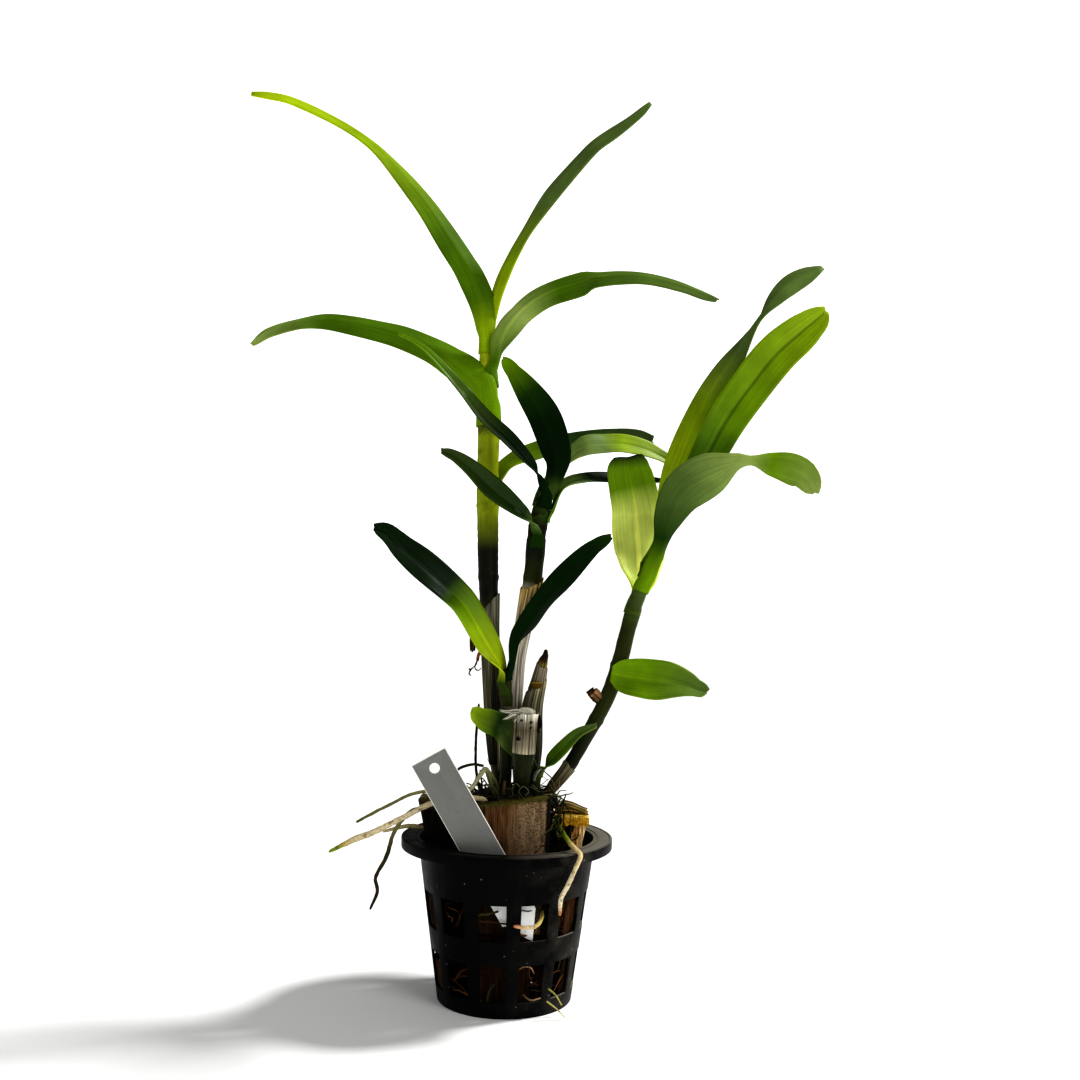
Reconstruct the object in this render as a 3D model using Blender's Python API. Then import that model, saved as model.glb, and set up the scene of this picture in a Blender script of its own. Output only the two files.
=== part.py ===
# Dendrobium orchid in a net pot: canes, leaves, roots, husk chunks and a plant label.
# Sizes and places are in millimetres. The origin is the centre of the pot's base, +Z is up and
# -Y is the front. MM turns them into Blender's metres.

import math

import bmesh
import bpy
from mathutils import Matrix, Vector, noise

MM = 0.001
GAP = 0.35                      # clearance between touching pieces

# Net pot
RIM_RADIUS = 55.0
WALL_TOP_RADIUS = 46.4
WALL_BASE_RADIUS = 35.0
POT_HEIGHT = 84.0
POT_WALL = 1.4
LIP_DEPTH = 5.0
POT_SIDES = 36                  # two sides to a window and one to a bar
FIRST_WINDOW = -108.0           # degrees, left edge of the window left of the front
LOW_WINDOWS = (8.0, 27.0)       # heights of the two rows of windows
HIGH_WINDOWS = (39.5, 58.0)
WALL_TOP = 79.0                 # plain wall up to here, then the rounded shoulder
SLOTS = (17.0, 28.0)            # radii of the base's drain slots
BASE_DISC = 12.0

# Plant label, a flat strip that leans to the left and is pushed in at the front
LABEL_WIDTH = 19.0
LABEL_LENGTH = 106.0
LABEL_THICK = 0.8
LABEL_POINT = 14.0              # length of its tapered lower end
LABEL_TIP = (14.5, -34.1, 38.7)
LABEL_LEAN = 30.0               # degrees from upright, to the left
LABEL_FORWARD = 3.5             # degrees towards the front
LABEL_HOLE = 4.6
LABEL_HOLE_DOWN = 6.5           # from the top edge

# Coconut husk chunks: (left, right, front, back) at the foot and at the head, the foot's height,
# and the head's height at its left and right ends
HUSK = {
    "husk_front": ((-16, 21, -33, -20.5), (-17, 23.2, -34, -20.5), 41.5, (104.5, 109.5)),
    "husk_left": ((-35, -19, -12, 10), (-46.5, -26, -14, 11), 41.5, (104, 104)),
    "husk_right": ((19.5, 33, -19, -2), (25.5, 43, -22, -2), 41.5, (99.5, 99.5)),
    "husk_back": ((-16, 16, 16, 33), (-18, 18, 17, 38), 41.5, (99, 99)),
    "husk_middle": ((-18, 18.5, -20, 15), (-24, 24, -20, 15), 41.5, (96, 96)),
    "husk_low_front": ((-15, 13, -29, -11), (-16, 14, -31, -11), 1.8, (41, 41)),
    "husk_low_left": ((-30, -16, -10.5, 12), (-34, -16, -10.5, 12), 1.8, (41, 41)),
    "husk_low_right": ((14.5, 30, -10.5, 12), (14.5, 34, -10.5, 12), 1.8, (41, 41)),
    "husk_low_back": ((-15, 15, 12.5, 29), (-16, 16, 12.5, 32), 1.8, (41, 41)),
    "husk_low_middle": ((-15.5, 14, -10.5, 12), (-15.5, 14, -10.5, 12), 1.8, (41, 41)),
}
HUSK_ROUGH = 1.2                # how far the sides dip below the flat block
HUSK_GRAIN = 0.11               # waves of that dip to a millimetre
HUSK_CORNER = 0.07              # share by which the upright corners are rounded off

# Rhizome that the canes grow from, a low lump on the middle chunk
CROWN_CENTRE = (3.0, -4.0, 103.0)
CROWN_HALF = (25.0, 15.6, 8.5)
CROWN_FOOT = 96.4
CROWN_ROUGH = 1.6
CROWN_GRAIN = 0.16
SOCKET_LENGTH = 14.0            # cutter for the hole that a stem stands in
SOCKET_FLARE = 3.4              # how much wider it is at its mouth
SOCKET_SIDES = 12

# Canes: axis points with the radius there, from the foot up
TALL_CANE = [(-5, 3, 105, 2.1), (-8, 3, 132, 3.2), (-9, 3, 150, 3.9), (-12, 5, 206, 4.8),
             (-13, 6, 232, 5.2), (-14, 8, 276, 5.3), (-14, 9, 303, 5.4), (-15.5, 10, 330, 4.4),
             (-14.5, 10, 352, 3.4)]
MIDDLE_CANE = [(5, 7, 105, 2.0), (3, 6, 150, 3.2), (4, 5, 176, 3.4), (6.5, 4, 194, 4.0),
               (11, 2, 220, 4.9), (13, 0, 245, 4.7), (17, -1, 266, 4.0)]
RIGHT_CANE = [(20, -3, 106, 2.4), (25.5, -3, 113, 3.1), (31.5, -3, 121, 3.4), (40.5, -3, 137, 3.6),
              (46.5, -3, 148, 3.8), (52, -3, 160, 4.0), (57, -2, 175, 4.2), (61, -1, 192, 4.0),
              (65.5, 0, 208, 3.7), (73.5, 0, 230, 3.0)]
SHORT_CANE = [(0, -5, 106, 1.8), (-1, -5, 140, 2.8), (-1.5, -6, 156, 3.0), (-2, -7, 170, 2.3)]
CUT_CANE = [(7, -15.5, 105, 2.0), (7.5, -16.5, 116, 4.2), (8, -17, 128, 5.3), (9, -17, 150, 5.6)]
OLD_CANE = [(12, 2, 106, 2.0), (12.5, 2, 128, 5.0), (12, 1, 150, 5.6), (15, 1, 165, 4.0),
            (17, 1, 175, 2.8), (18.5, 1, 179.5, 1.4)]
SHOOT = [(14, -9, 105, 2.6), (14.3, -9, 113, 2.4), (16, -9.5, 120, 1.9)]
CANES = {
    # name: (axis, heights of the rings, sides)
    "cane_tall": (TALL_CANE, (150, 189, 219, 257, 300), 10),
    "cane_middle": (MIDDLE_CANE, (183, 219, 246), 10),
    "cane_right": (RIGHT_CANE, (123, 146, 174, 200), 10),
    "cane_short": (SHORT_CANE, (150,), 8),
    "cane_cut": (CUT_CANE, (129,), 10),
    "cane_old": (OLD_CANE, (164,), 8),
    "cane_shoot": (SHOOT, (), 8),
}
CANE_STEP = 12.0
CANE_DOME = (0.45, 0.55)        # rise and width of its rounded end, as shares of the radius
RING_SWELL = 0.10               # share by which a ring stands out
RING_REACH = 2.6
RING_CLEAR = 4.2                # no other row of the stem comes this near to a ring
STUB = [(45.4, -3, 157, 2.2), (43.7, -3.2, 158.3, 2.9), (41.8, -3.5, 159.8, 2.2)]

# Leaves: blade points (x, y, z, width, facing) from the base to the tip. Facing is how far the
# blade is turned about its own length, in degrees: at 0 it lies flat to the front.
BLADE_THICK = 0.7
ACROSS = 4                      # faces across a blade
ALONG = 13                      # rows along a blade
SHEATH_WRAP = 86.0              # most degrees either side of the sheath's middle
SHEATH_SPREAD = 1.25            # a sheath's width as a share of the blade's foot
LEAVE_RISE = 4.0                # where the blade leaves its cane, above the sheath
LEAVE_OUT = 1.3
BASE_CURL = 62.0                # degrees from the midrib to the edge at the foot of the blade
BASE_TURN = 0.2                 # share of the blade over which it turns from the cane
BASE_OPEN = 0.3                 # share of the blade over which its channel opens
BASE_EASE = 1.5                 # how soon it does so
HOLD_CURL = 0.8                 # share of the sheath's curl that the foot of the blade keeps
BLADE_CURL = 17.0
UPPER = 1                       # the upper face is turned to the front
UNDER = -1
LEAVES = {
    # name: (cane, side in degrees from +X, sheath heights, face seen, blade points)
    "leaf_tall_1": (TALL_CANE, 40, (258, 267), UPPER, [
        (-3, 14.5, 278.5, 15, 45), (13, 20, 287.5, 16, 46), (30, 27, 294, 16, 56),
        (58, 37, 298, 13, 50), (77, 42, 298, 3, 50)]),
    "leaf_tall_2": (TALL_CANE, 195, (298, 307), UPPER, [
        (-25, 7, 324, 19, -40), (-33, 8, 330.5, 19, -28), (-44, 9, 338.5, 18, -42),
        (-62, 12, 346, 18, -42), (-76, 15, 351, 17, -48), (-91, 17, 355, 15, -53),
        (-106, 19, 357, 12, -50), (-119, 20, 355, 9, -58), (-136, 22, 350, 6, -50),
        (-146, 24, 342.5, 3, -40)]),
    "leaf_tall_3": (TALL_CANE, -35, (319, 325), UPPER, [
        (-5, 3, 344, 14, 50), (0, 2.5, 355, 15, 26), (9, 1, 364, 15, 32), (17, 0, 369, 16, 34),
        (33, -2, 373.5, 16, 32), (41, -4, 375.5, 15, 48), (63, -8, 376.5, 14, 50),
        (84, -12, 371, 10, 52), (103, -16, 363, 3, 50)]),
    "leaf_tall_4": (TALL_CANE, 165, (332, 338), UPPER, [
        (-21.5, 10, 362, 15, -50), (-25, 11, 377, 16, -30), (-36, 12, 397, 17, -42),
        (-50, 14, 419, 16, -50), (-69, 16, 440, 13.5, -66), (-81, 17, 451, 12, -72),
        (-101, 19, 464, 12, -81), (-124, 20, 475, 11, -84), (-138, 21, 479, 8, -80),
        (-148, 22, 479.5, 3, -80)]),
    "leaf_tall_5": (TALL_CANE, 0, (343, 349), UPPER, [
        (-10.5, 11, 366, 11, 60), (-10, 12, 378, 12, 46), (-5.5, 13, 390, 13, 56),
        (3, 15, 405, 14, 58), (18, 18, 429, 14, 48), (37, 21, 452, 13, 48), (49, 23, 462, 11, 36),
        (61, 25, 472, 7, 42), (71, 26, 481, 3, 42)]),
    "leaf_middle_1": (MIDDLE_CANE, 215, (239, 242), UPPER, [
        (3, -9.5, 252, 11, -40), (-7, -12, 261, 11, -46), (-17, -14, 269, 10, -42),
        (-29, -16, 277, 8, -42), (-37, -18, 283, 3, -45)]),
    "leaf_middle_2": (MIDDLE_CANE, 5, (249, 251.5), UPPER, [
        (25, 3.5, 266, 6, 45), (29, 7, 270, 8.5, 50), (36, 12, 272.5, 9, 50),
        (46, 20, 274, 9, 48), (62, 28, 274, 9, 50),
        (80, 32, 274, 4, 50)]),
    "leaf_middle_3": (MIDDLE_CANE, 220, (253, 256), UPPER, [
        (9, -8, 274, 8, -60), (2, -9, 286, 12, -44), (-8, -10.5, 295.5, 12, -44),
        (-17, -12, 305, 12, -52), (-31, -14, 319.5, 10.5, -58), (-40, -15, 330, 8.5, -50),
        (-60, -17, 342, 2.5, -55)]),
    "leaf_middle_4": (MIDDLE_CANE, 105, (256, 258.5), UPPER, [
        (24, 11, 277, 9, 60), (32, 13, 285.5, 13, 48), (39, 14, 290, 14, 32),
        (50, 20, 292, 14, 36), (61, 25, 292.5, 13, 32), (74, 30, 290, 11, 34),
        (88, 35, 284, 3, 30)]),
    "leaf_middle_5": (MIDDLE_CANE, -45, (261, 263), UNDER, [
        (22, -4, 275, 11, 36), (22, -4, 282, 16, 30), (19.5, -3.5, 292, 17.5, 20),
        (14.5, -4, 304, 18, 18), (6.5, -5, 315, 16.5, 26), (-2, -6, 325, 11, 30),
        (-8, -7, 333, 3, 30)]),
    "leaf_right_1": (RIGHT_CANE, -90, None, UPPER, [
        (52.5, -7.2, 170.5, 8, 0), (56, -7.5, 169.9, 14.5, 6), (60.5, -9.2, 169, 18.5, 18),
        (66, -11.5, 168.3, 21.5, 27), (73, -13, 167.5, 22.5, 27), (81, -15, 167, 21.5, 28),
        (90, -18, 165.5, 16.5, 38), (97, -20, 163.5, 9, 40), (101, -21, 163, 3, 40)]),
    "leaf_right_2": (RIGHT_CANE, 95, (201, 204), UPPER, [
        (67, 9, 212, 9, -14), (68, 13, 218, 17, -14), (68, 17, 226, 24, -12), (68, 20, 234, 28, -10),
        (67, 22, 246, 29, -8), (66, 23, 258, 28, -10), (63, 21, 270, 25, -4),
        (60.5, 18, 279, 21, 0), (59.5, 17, 284, 15, 0), (59, 16.5, 286, 9, 0)]),
    "leaf_right_3": (RIGHT_CANE, -65, (213, 217), UNDER, [
        (78, -10, 238, 12, -45), (81, -11, 250, 19, -34),
        (88, -15, 264.5, 24, -18), (101, -18, 273, 25, -28),
        (114, -22, 278.5, 19, -64), (124, -25, 278.5, 15, -62), (132, -27, 277, 16, -42),
        (142, -30, 275, 14, -20), (151, -33, 265.5, 3.5, -20)]),
    "leaf_right_4": (RIGHT_CANE, 145, (219.5, 222.5), UNDER, [
        (79, 13, 248, 9, 45), (83, 15.5, 268, 14, 32), (91, 19, 290, 17, 24),
        (102, 22, 316, 16, 32), (115, 26, 337, 15, 36), (126, 30, 355, 11, 58),
        (133, 32, 366, 10, 64), (142, 34, 376, 10, 54), (153, 37, 386, 8, 40),
        (170, 41, 396, 3, 36)]),
    "leaf_right_5": (RIGHT_CANE, 0, (225, 228), UPPER, [
        (82.5, 3, 246, 10, 60), (88.5, 4, 262, 17, 36), (99, 5, 284, 22.5, 12), (110, 8, 304, 24, 10),
        (124, 11, 323, 23.5, 12), (139, 14, 341, 21, 12), (154, 16, 355, 15, 8),
        (165, 18, 364.5, 4, 8)]),
    "leaf_short_1": (SHORT_CANE, 195, (158, 161), UPPER, [
        (-5, -9.5, 172, 11, -25), (-12, -12, 185, 14.5, -30), (-24, -14, 204.5, 17.5, -42),
        (-33, -15, 213.5, 18, -40), (-46, -18, 225, 17, -28), (-55, -19, 232.5, 14, -26),
        (-63, -21, 240, 9, -24), (-70, -22, 243, 3, -24)]),
    "leaf_short_2": (SHORT_CANE, 10, (166, 168.5), UNDER, [
        (4.5, -9.5, 187, 12, -50), (10, -10.5, 196, 15, -46), (18, -12, 208, 15, -46),
        (29, -13, 221, 14, -34), (41, -14, 234, 9.5, -30), (51, -15, 241, 3, -30)]),
    "leaf_shoot_1": (SHOOT, 145, (112, 115), UPPER, [
        (6.5, -7, 128, 9, 0), (1.8, -10.6, 135, 12, -8), (-4, -14, 142, 14, -28),
        (-13, -17, 146.5, 12, -28), (-19, -20, 151, 3, -30)]),
    "leaf_shoot_2": (SHOOT, -45, (117, 119), UPPER, [
        (24, -13.5, 129, 7, 52), (28.5, -15, 134.5, 8, 42), (36, -16, 141.5, 7, 40),
        (45, -18, 145, 2.5, 40)]),
}

# Roots: points (x, y, z, radius) from where they leave the crown or the husk
ROOTS = {
    "root_left_long": [(-10, -15, 104.5, 1.3), (-15, -22, 107, 1.4), (-26, -25, 107, 1.5),
                       (-37, -26, 105, 1.5), (-53, -28, 97, 1.4), (-67, -29, 90, 1.5),
                       (-75, -30, 87, 1.6), (-87, -31, 81, 0.8)],
    "root_left_fork": [(-17, -9, 104, 0.9), (-30, -12, 107.5, 0.9), (-42, -10, 108, 0.9),
                       (-51, -12, 106, 0.8), (-59, -14, 102, 0.8), (-67, -15, 98, 0.8),
                       (-76, -16, 93, 0.7)],
    "root_left_hanging": [(-40.3, -14.2, 101.5, 0.9), (-49, -20, 99, 1.0), (-55, -23, 92, 1.0),
                          (-57, -24, 88, 1.0), (-60, -25, 77, 1.0), (-65, -26, 67, 0.9),
                          (-64, -26, 60, 0.9), (-67, -27, 52, 0.6)],
    "root_left_short": [(-43.7, -6, 88.3, 1.1), (-51, -8, 89.5, 1.1), (-63, -10, 87, 0.7)],
    "root_arch": [(-6, -12, 105, 1.2), (-9, -17, 116, 1.2), (-11, -19.5, 121.5, 1.3),
                  (-14, -20.5, 118, 1.2), (-18, -22, 112, 1.1), (-22, -24, 109.6, 1.0)],
    "root_dark": [(-12.1, -19.6, 123, 0.7), (-17, -20.5, 124, 0.7), (-24, -22, 122, 0.7),
                  (-27, -23, 118, 0.6)],
    "root_upright": [(-14, 0, 103.5, 0.8), (-17, 3, 118, 0.7), (-17.5, 6, 133, 0.7),
                     (-16.5, 8, 151, 0.6)],
    "root_right_hanging": [(24.8, -25, 99, 1.1), (28, -30, 93, 1.2), (32.4, -37.5, 88, 1.2),
                           (35.3, -41.2, 86, 1.2), (37.1, -43.8, 83.8, 1.2),
                           (34.6, -46.5, 78, 1.2), (31.1, -46.5, 70, 1.2), (27.8, -46, 63, 1.1),
                           (27.5, -46, 56, 0.8)],
    "root_window": [(19, -32.7, 53, 1.0), (18.5, -40.5, 51.5, 1.0), (16, -45, 49.5, 1.0),
                    (12, -46.4, 49, 1.0), (6, -46.2, 49.5, 0.8)],
}
ROOT_STEP = 3.0
ROOT_SIDES = 8
CROWN_ROOTS = ("root_left_long", "root_left_fork", "root_arch", "root_upright")


def surface(name, colour, roughness):
    """Principled material with one plain colour, given as sRGB hex."""
    material = bpy.data.materials.new(name)
    material.use_nodes = True
    shader = material.node_tree.nodes["Principled BSDF"]
    channels = [int(colour[i:i + 2], 16) / 255 for i in (0, 2, 4)]
    linear = [c / 12.92 if c <= 0.04045 else ((c + 0.055) / 1.055) ** 2.4 for c in channels]
    shader.inputs["Base Color"].default_value = (*linear, 1)
    shader.inputs["Roughness"].default_value = roughness
    shader.inputs["Metallic"].default_value = 0
    material.diffuse_color = (*linear, 1)
    return material


def add_object(name, data, material):
    """Put mesh or curve data in the scene under its own name."""
    data.materials.append(material)
    piece = bpy.data.objects.new(name, data)
    bpy.context.collection.objects.link(piece)
    return piece


def add_mesh(name, shape, material, sharp_angle=35):
    """Turn a bmesh in millimetres into a smooth-shaded object in metres."""
    bmesh.ops.scale(shape, vec=(MM, MM, MM), verts=shape.verts)
    mesh = bpy.data.meshes.new(name)
    shape.to_mesh(mesh)
    shape.free()
    mesh.shade_smooth()
    mesh.set_sharp_from_angle(angle=math.radians(sharp_angle))
    return add_object(name, mesh, material)


def hermite(points, marks, place):
    """The smooth curve through the points, read at a place along the marks."""
    last = len(points) - 1
    i = max([j for j in range(last) if marks[j] <= place] or [0])
    span = marks[i + 1] - marks[i]
    t = (place - marks[i]) / span

    def slope(j):
        before, after = max(0, j - 1), min(last, j + 1)
        reach = marks[after] - marks[before]
        return [(b - a) / reach for a, b in zip(points[before], points[after])]

    start, end = slope(i), slope(i + 1)
    return [(2 * t**3 - 3 * t**2 + 1) * p + (t**3 - 2 * t**2 + t) * span * m
            + (3 * t**2 - 2 * t**3) * q + (t**3 - t**2) * span * n
            for p, q, m, n in zip(points[i], points[i + 1], start, end)]


def even_rows(points, count):
    """Rows at even steps along the smooth curve through the points."""
    marks = [0.0]
    for a, b in zip(points, points[1:]):
        marks.append(marks[-1] + math.dist(a[:3], b[:3]))
    return [hermite(points, marks, marks[-1] * k / (count - 1)) for k in range(count)]


def cane_at(axis, height):
    """Centre, direction and radius of a cane at a height."""
    heights = [point[2] for point in axis]
    x, y, z, radius = hermite(axis, heights, height)
    beyond = hermite(axis, heights, height + 1.0)
    centre = Vector((x, y, z))
    return centre, (Vector(beyond[:3]) - centre).normalized(), radius


def tube(name, rows, sides, material):
    """Round stem or root along rows of (x, y, z, radius)."""
    curve = bpy.data.curves.new(name, "CURVE")
    curve.dimensions = "3D"
    curve.bevel_depth = MM
    curve.bevel_resolution = (sides - 4) // 2
    curve.use_fill_caps = True
    spline = curve.splines.new("POLY")
    spline.points.add(len(rows) - 1)
    for point, (x, y, z, radius) in zip(spline.points, rows):
        point.co = (x * MM, y * MM, z * MM, 1)
        point.radius = radius
    spline.use_smooth = True
    return add_object(name, curve, material)


def cane(name, axis, rings, sides, material):
    """Jointed stem, a little wider at each ring."""
    foot, head = axis[0][2], axis[-1][2]
    steps = round((head - foot) / CANE_STEP)
    heights = [foot + (head - foot) * k / steps for k in range(steps + 1)]
    heights = [h for h in heights if all(abs(h - ring) > RING_CLEAR for ring in rings)]
    for ring in rings:
        heights += [ring - RING_REACH, ring, ring + RING_REACH]
    rows = []
    for height in sorted(heights):
        centre, _, radius = cane_at(axis, height)
        if height in rings:
            radius *= 1 + RING_SWELL
        rows.append((*centre, radius))
    last = rows[-1]
    along = cane_at(axis, last[2])[1]
    rise, width = CANE_DOME
    rows.append((*(Vector(last[:3]) + along * last[3] * rise), last[3] * width))
    return tube(name, rows, sides, material)


def blade_frame(row, ahead, face):
    """Across and upper-side directions of a blade at a row."""
    along = (Vector(ahead[:3]) - Vector(row[:3])).normalized()
    front = Vector((0, -1, 0))
    front = (front - along * front.dot(along)).normalized()
    flat = along.cross(front)
    turn = math.radians(row[4])
    across = flat * math.cos(turn) + front * math.sin(turn)
    upper = (front * math.cos(turn) - flat * math.sin(turn)) * face
    return across, upper


def sheath_rows(axis, side, heights, foot_width, face):
    """Rows of the sheath round a cane: middle, across, inward, radius and half angle."""
    heading = Vector((math.cos(math.radians(side)), math.sin(math.radians(side)), 0))
    rows = []
    for height in heights:
        centre, along, radius = cane_at(axis, height)
        outward = (heading - along * heading.dot(along)).normalized()
        reach = radius * (1 + RING_SWELL) + GAP + BLADE_THICK / 2
        wrap = min(math.radians(SHEATH_WRAP), SHEATH_SPREAD * foot_width / 2 / reach)
        reach /= math.cos(wrap / ACROSS)
        grip = along.cross(outward) * -face
        rows.append((centre + outward * reach, grip, -outward, reach, wrap))
    start = rows[-1][0] + along * LEAVE_RISE + outward * LEAVE_OUT
    return rows, start


def leaf(name, axis, side, sheath, face, points, material):
    """Channelled blade that grows out of a sheath round its cane, or lies against the cane."""
    rows, base = [], list(points)
    if sheath:
        rows, start = sheath_rows(axis, side, sheath, points[0][3], face)
        _, grip, inward, reach, wrap = rows[-1]
        base.insert(0, (*start, min(points[0][3], 2 * reach * wrap), points[0][4]))
    blade = even_rows(base, ALONG)
    for i, row in enumerate(blade):
        ahead, here = (blade[i + 1], row) if i + 1 < ALONG else (row, blade[i - 1])
        across, upper = blade_frame([*here[:3], *row[3:]], ahead, face)
        share = i / (ALONG - 1)
        curl = math.radians(BLADE_CURL)
        if sheath:
            hold = max(0, 1 - share / BASE_TURN)
            across = across.lerp(grip, hold).normalized()
            upper = upper.lerp(inward, hold).normalized()
            opening = max(0, 1 - share / BASE_OPEN) ** BASE_EASE
            curl += math.radians(BASE_CURL - BLADE_CURL) * opening
            curl = max(curl, hold * wrap * HOLD_CURL)
        rows.append((Vector(row[:3]), across, upper, row[3] / 2 / curl, curl))
    shape = bmesh.new()
    bmesh.ops.create_grid(shape, x_segments=ACROSS, y_segments=len(rows) - 1, size=1)
    for vert in shape.verts:
        centre, across, upper, radius, curl = rows[round((vert.co.y + 1) / 2 * (len(rows) - 1))]
        angle = vert.co.x * curl
        vert.co = centre + across * radius * math.sin(angle) + upper * radius * (1 - math.cos(angle))
    bmesh.ops.triangulate(shape, faces=shape.faces)
    piece = add_mesh(name, shape, material, 60)
    wall = piece.modifiers.new("blade", "SOLIDIFY")
    wall.thickness = BLADE_THICK * MM
    wall.offset = 0
    return piece


def net_pot(material):
    """Tapered wall with two rows of windows, a flat rim with a lip and a slotted base."""
    def wall_radius(height):
        return WALL_BASE_RADIUS + (WALL_TOP_RADIUS - WALL_BASE_RADIUS) * height / POT_HEIGHT

    profile = [(BASE_DISC, 0), (SLOTS[0], 0), (SLOTS[1], 0), (WALL_BASE_RADIUS, 0)]
    profile += [(wall_radius(h), h) for h in (*LOW_WINDOWS, *HIGH_WINDOWS, WALL_TOP)]
    under_rim = POT_HEIGHT - POT_WALL
    profile += [(WALL_TOP_RADIUS, under_rim), (RIM_RADIUS - POT_WALL, under_rim)]
    profile += [(RIM_RADIUS - POT_WALL, POT_HEIGHT - LIP_DEPTH)]
    start = Matrix.Rotation(math.radians(FIRST_WINDOW), 3, "Z")
    shape = bmesh.new()
    verts = [shape.verts.new(start @ Vector((r, 0, h))) for r, h in profile]
    edges = [shape.edges.new(pair) for pair in zip(verts, verts[1:])]
    bmesh.ops.spin(shape, geom=verts + edges, cent=(0, 0, 0), axis=(0, 0, 1), dvec=(0, 0, 0),
                   angle=math.tau, steps=POT_SIDES, use_merge=True)
    inner = [e for e in shape.edges
             if e.is_boundary and all(v.co.xy.length < BASE_DISC + 1 for v in e.verts)]
    bmesh.ops.contextual_create(shape, geom=inner)
    bmesh.ops.recalc_face_normals(shape, faces=shape.faces)
    cut = []
    for face in shape.faces:
        middle = face.calc_center_median()
        turn = math.degrees(math.atan2(middle.y, middle.x)) - FIRST_WINDOW
        side = int(turn % 360 // (360 / POT_SIDES))
        in_row = any(low < middle.z < high for low, high in (LOW_WINDOWS, HIGH_WINDOWS))
        in_slot = middle.z < 0.1 and SLOTS[0] < middle.xy.length < SLOTS[1]
        if side % 3 < 2 and (in_row or in_slot):
            cut.append(face)
    bmesh.ops.delete(shape, geom=cut, context="FACES")
    wall_face = next(f for f in shape.faces if HIGH_WINDOWS[1] < f.calc_center_median().z < WALL_TOP)
    if wall_face.normal.dot(wall_face.calc_center_median()) < 0:
        bmesh.ops.reverse_faces(shape, faces=shape.faces)
    piece = add_mesh("net_pot", shape, material)
    wall = piece.modifiers.new("wall", "SOLIDIFY")
    wall.thickness = POT_WALL * MM
    wall.offset = -1
    wall.use_even_offset = True
    return piece


def plant_label(material):
    """Flat strip with a pointed lower end and a hole near the top, upright until it is placed."""
    half = LABEL_WIDTH / 2
    outline = [(0, 0), (half, LABEL_POINT), (half, LABEL_LENGTH), (-half, LABEL_LENGTH),
               (-half, LABEL_POINT)]
    shape = bmesh.new()
    sheet = shape.faces.new([shape.verts.new((x, LABEL_THICK / 2, z)) for x, z in outline])
    grown = bmesh.ops.extrude_face_region(shape, geom=[sheet])["geom"]
    moved = [g for g in grown if isinstance(g, bmesh.types.BMVert)]
    bmesh.ops.translate(shape, vec=(0, -LABEL_THICK, 0), verts=moved)
    bmesh.ops.recalc_face_normals(shape, faces=shape.faces)
    piece = add_mesh("plant_label", shape, material)
    punch = bmesh.new()
    bmesh.ops.create_cone(punch, cap_ends=True, segments=16, radius1=LABEL_HOLE / 2,
                          radius2=LABEL_HOLE / 2, depth=4 * LABEL_THICK)
    bmesh.ops.rotate(punch, cent=(0, 0, 0), matrix=Matrix.Rotation(math.pi / 2, 3, "X"),
                     verts=punch.verts)
    bmesh.ops.translate(punch, vec=(0, 0, LABEL_LENGTH - LABEL_HOLE_DOWN), verts=punch.verts)
    cutter = add_mesh("label_hole_cutter", punch, material)
    cutter.hide_render = True
    cutter.display_type = "WIRE"
    cutter.parent = piece
    hole = piece.modifiers.new("hole", "BOOLEAN")
    hole.operation = "DIFFERENCE"
    hole.object = cutter
    piece.location = Vector(LABEL_TIP) * MM
    piece.rotation_euler = (math.radians(LABEL_FORWARD), -math.radians(LABEL_LEAN), 0)
    return piece


def husk_chunk(name, foot, head, low, heights, material):
    """Rough block between two rectangles, flat at the foot and the head, which may slope."""
    shape = bmesh.new()
    bmesh.ops.create_cube(shape, size=2)
    bmesh.ops.subdivide_edges(shape, edges=shape.edges, cuts=2, use_grid_fill=True)
    for vert in shape.verts:
        u, v, w = vert.co
        rise = (w + 1) / 2
        left, right, front, back = [a + (b - a) * rise for a, b in zip(foot, head)]
        corner = 1 - HUSK_CORNER * abs(u * v) ** 3
        x = (left + right) / 2 + (right - left) / 2 * u * corner
        y = (front + back) / 2 + (back - front) / 2 * v * corner
        high = heights[0] + (heights[1] - heights[0]) * (u + 1) / 2
        z = low + (high - low) * rise
        dip = HUSK_ROUGH * (0.5 + 0.5 * noise.noise(Vector((x, y, z)) * HUSK_GRAIN))
        pull = Vector((u if abs(u) > 0.99 else 0, v if abs(v) > 0.99 else 0, 0))
        vert.co = Vector((x, y, z)) - pull * dip
    return add_mesh(name, shape, material, 50)


def cut_away(piece, cutters):
    """Cut the cutters out of a piece and remove them."""
    for cutter in cutters:
        step = piece.modifiers.new("cut", "BOOLEAN")
        step.operation = "DIFFERENCE"
        step.object = cutter
    bpy.context.view_layer.update()
    shaped = piece.evaluated_get(bpy.context.evaluated_depsgraph_get())
    mesh = bpy.data.meshes.new_from_object(shaped)
    piece.modifiers.clear()
    piece.data = mesh
    for cutter in cutters:
        bpy.data.objects.remove(cutter)


def socket(start, end, radius, material):
    """Round cutter a little wider than the stem that stands in it."""
    along = Vector(end) - Vector(start)
    shape = bmesh.new()
    bmesh.ops.create_cone(shape, cap_ends=True, segments=SOCKET_SIDES, radius1=radius + 2 * GAP,
                          radius2=radius + SOCKET_FLARE, depth=SOCKET_LENGTH)
    turn = along.to_track_quat("Z", "Y").to_matrix()
    bmesh.ops.rotate(shape, cent=(0, 0, 0), matrix=turn, verts=shape.verts)
    middle = Vector(start) + along.normalized() * (SOCKET_LENGTH / 2 - GAP)
    bmesh.ops.translate(shape, vec=middle, verts=shape.verts)
    return add_mesh("socket_cutter", shape, material)


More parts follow.
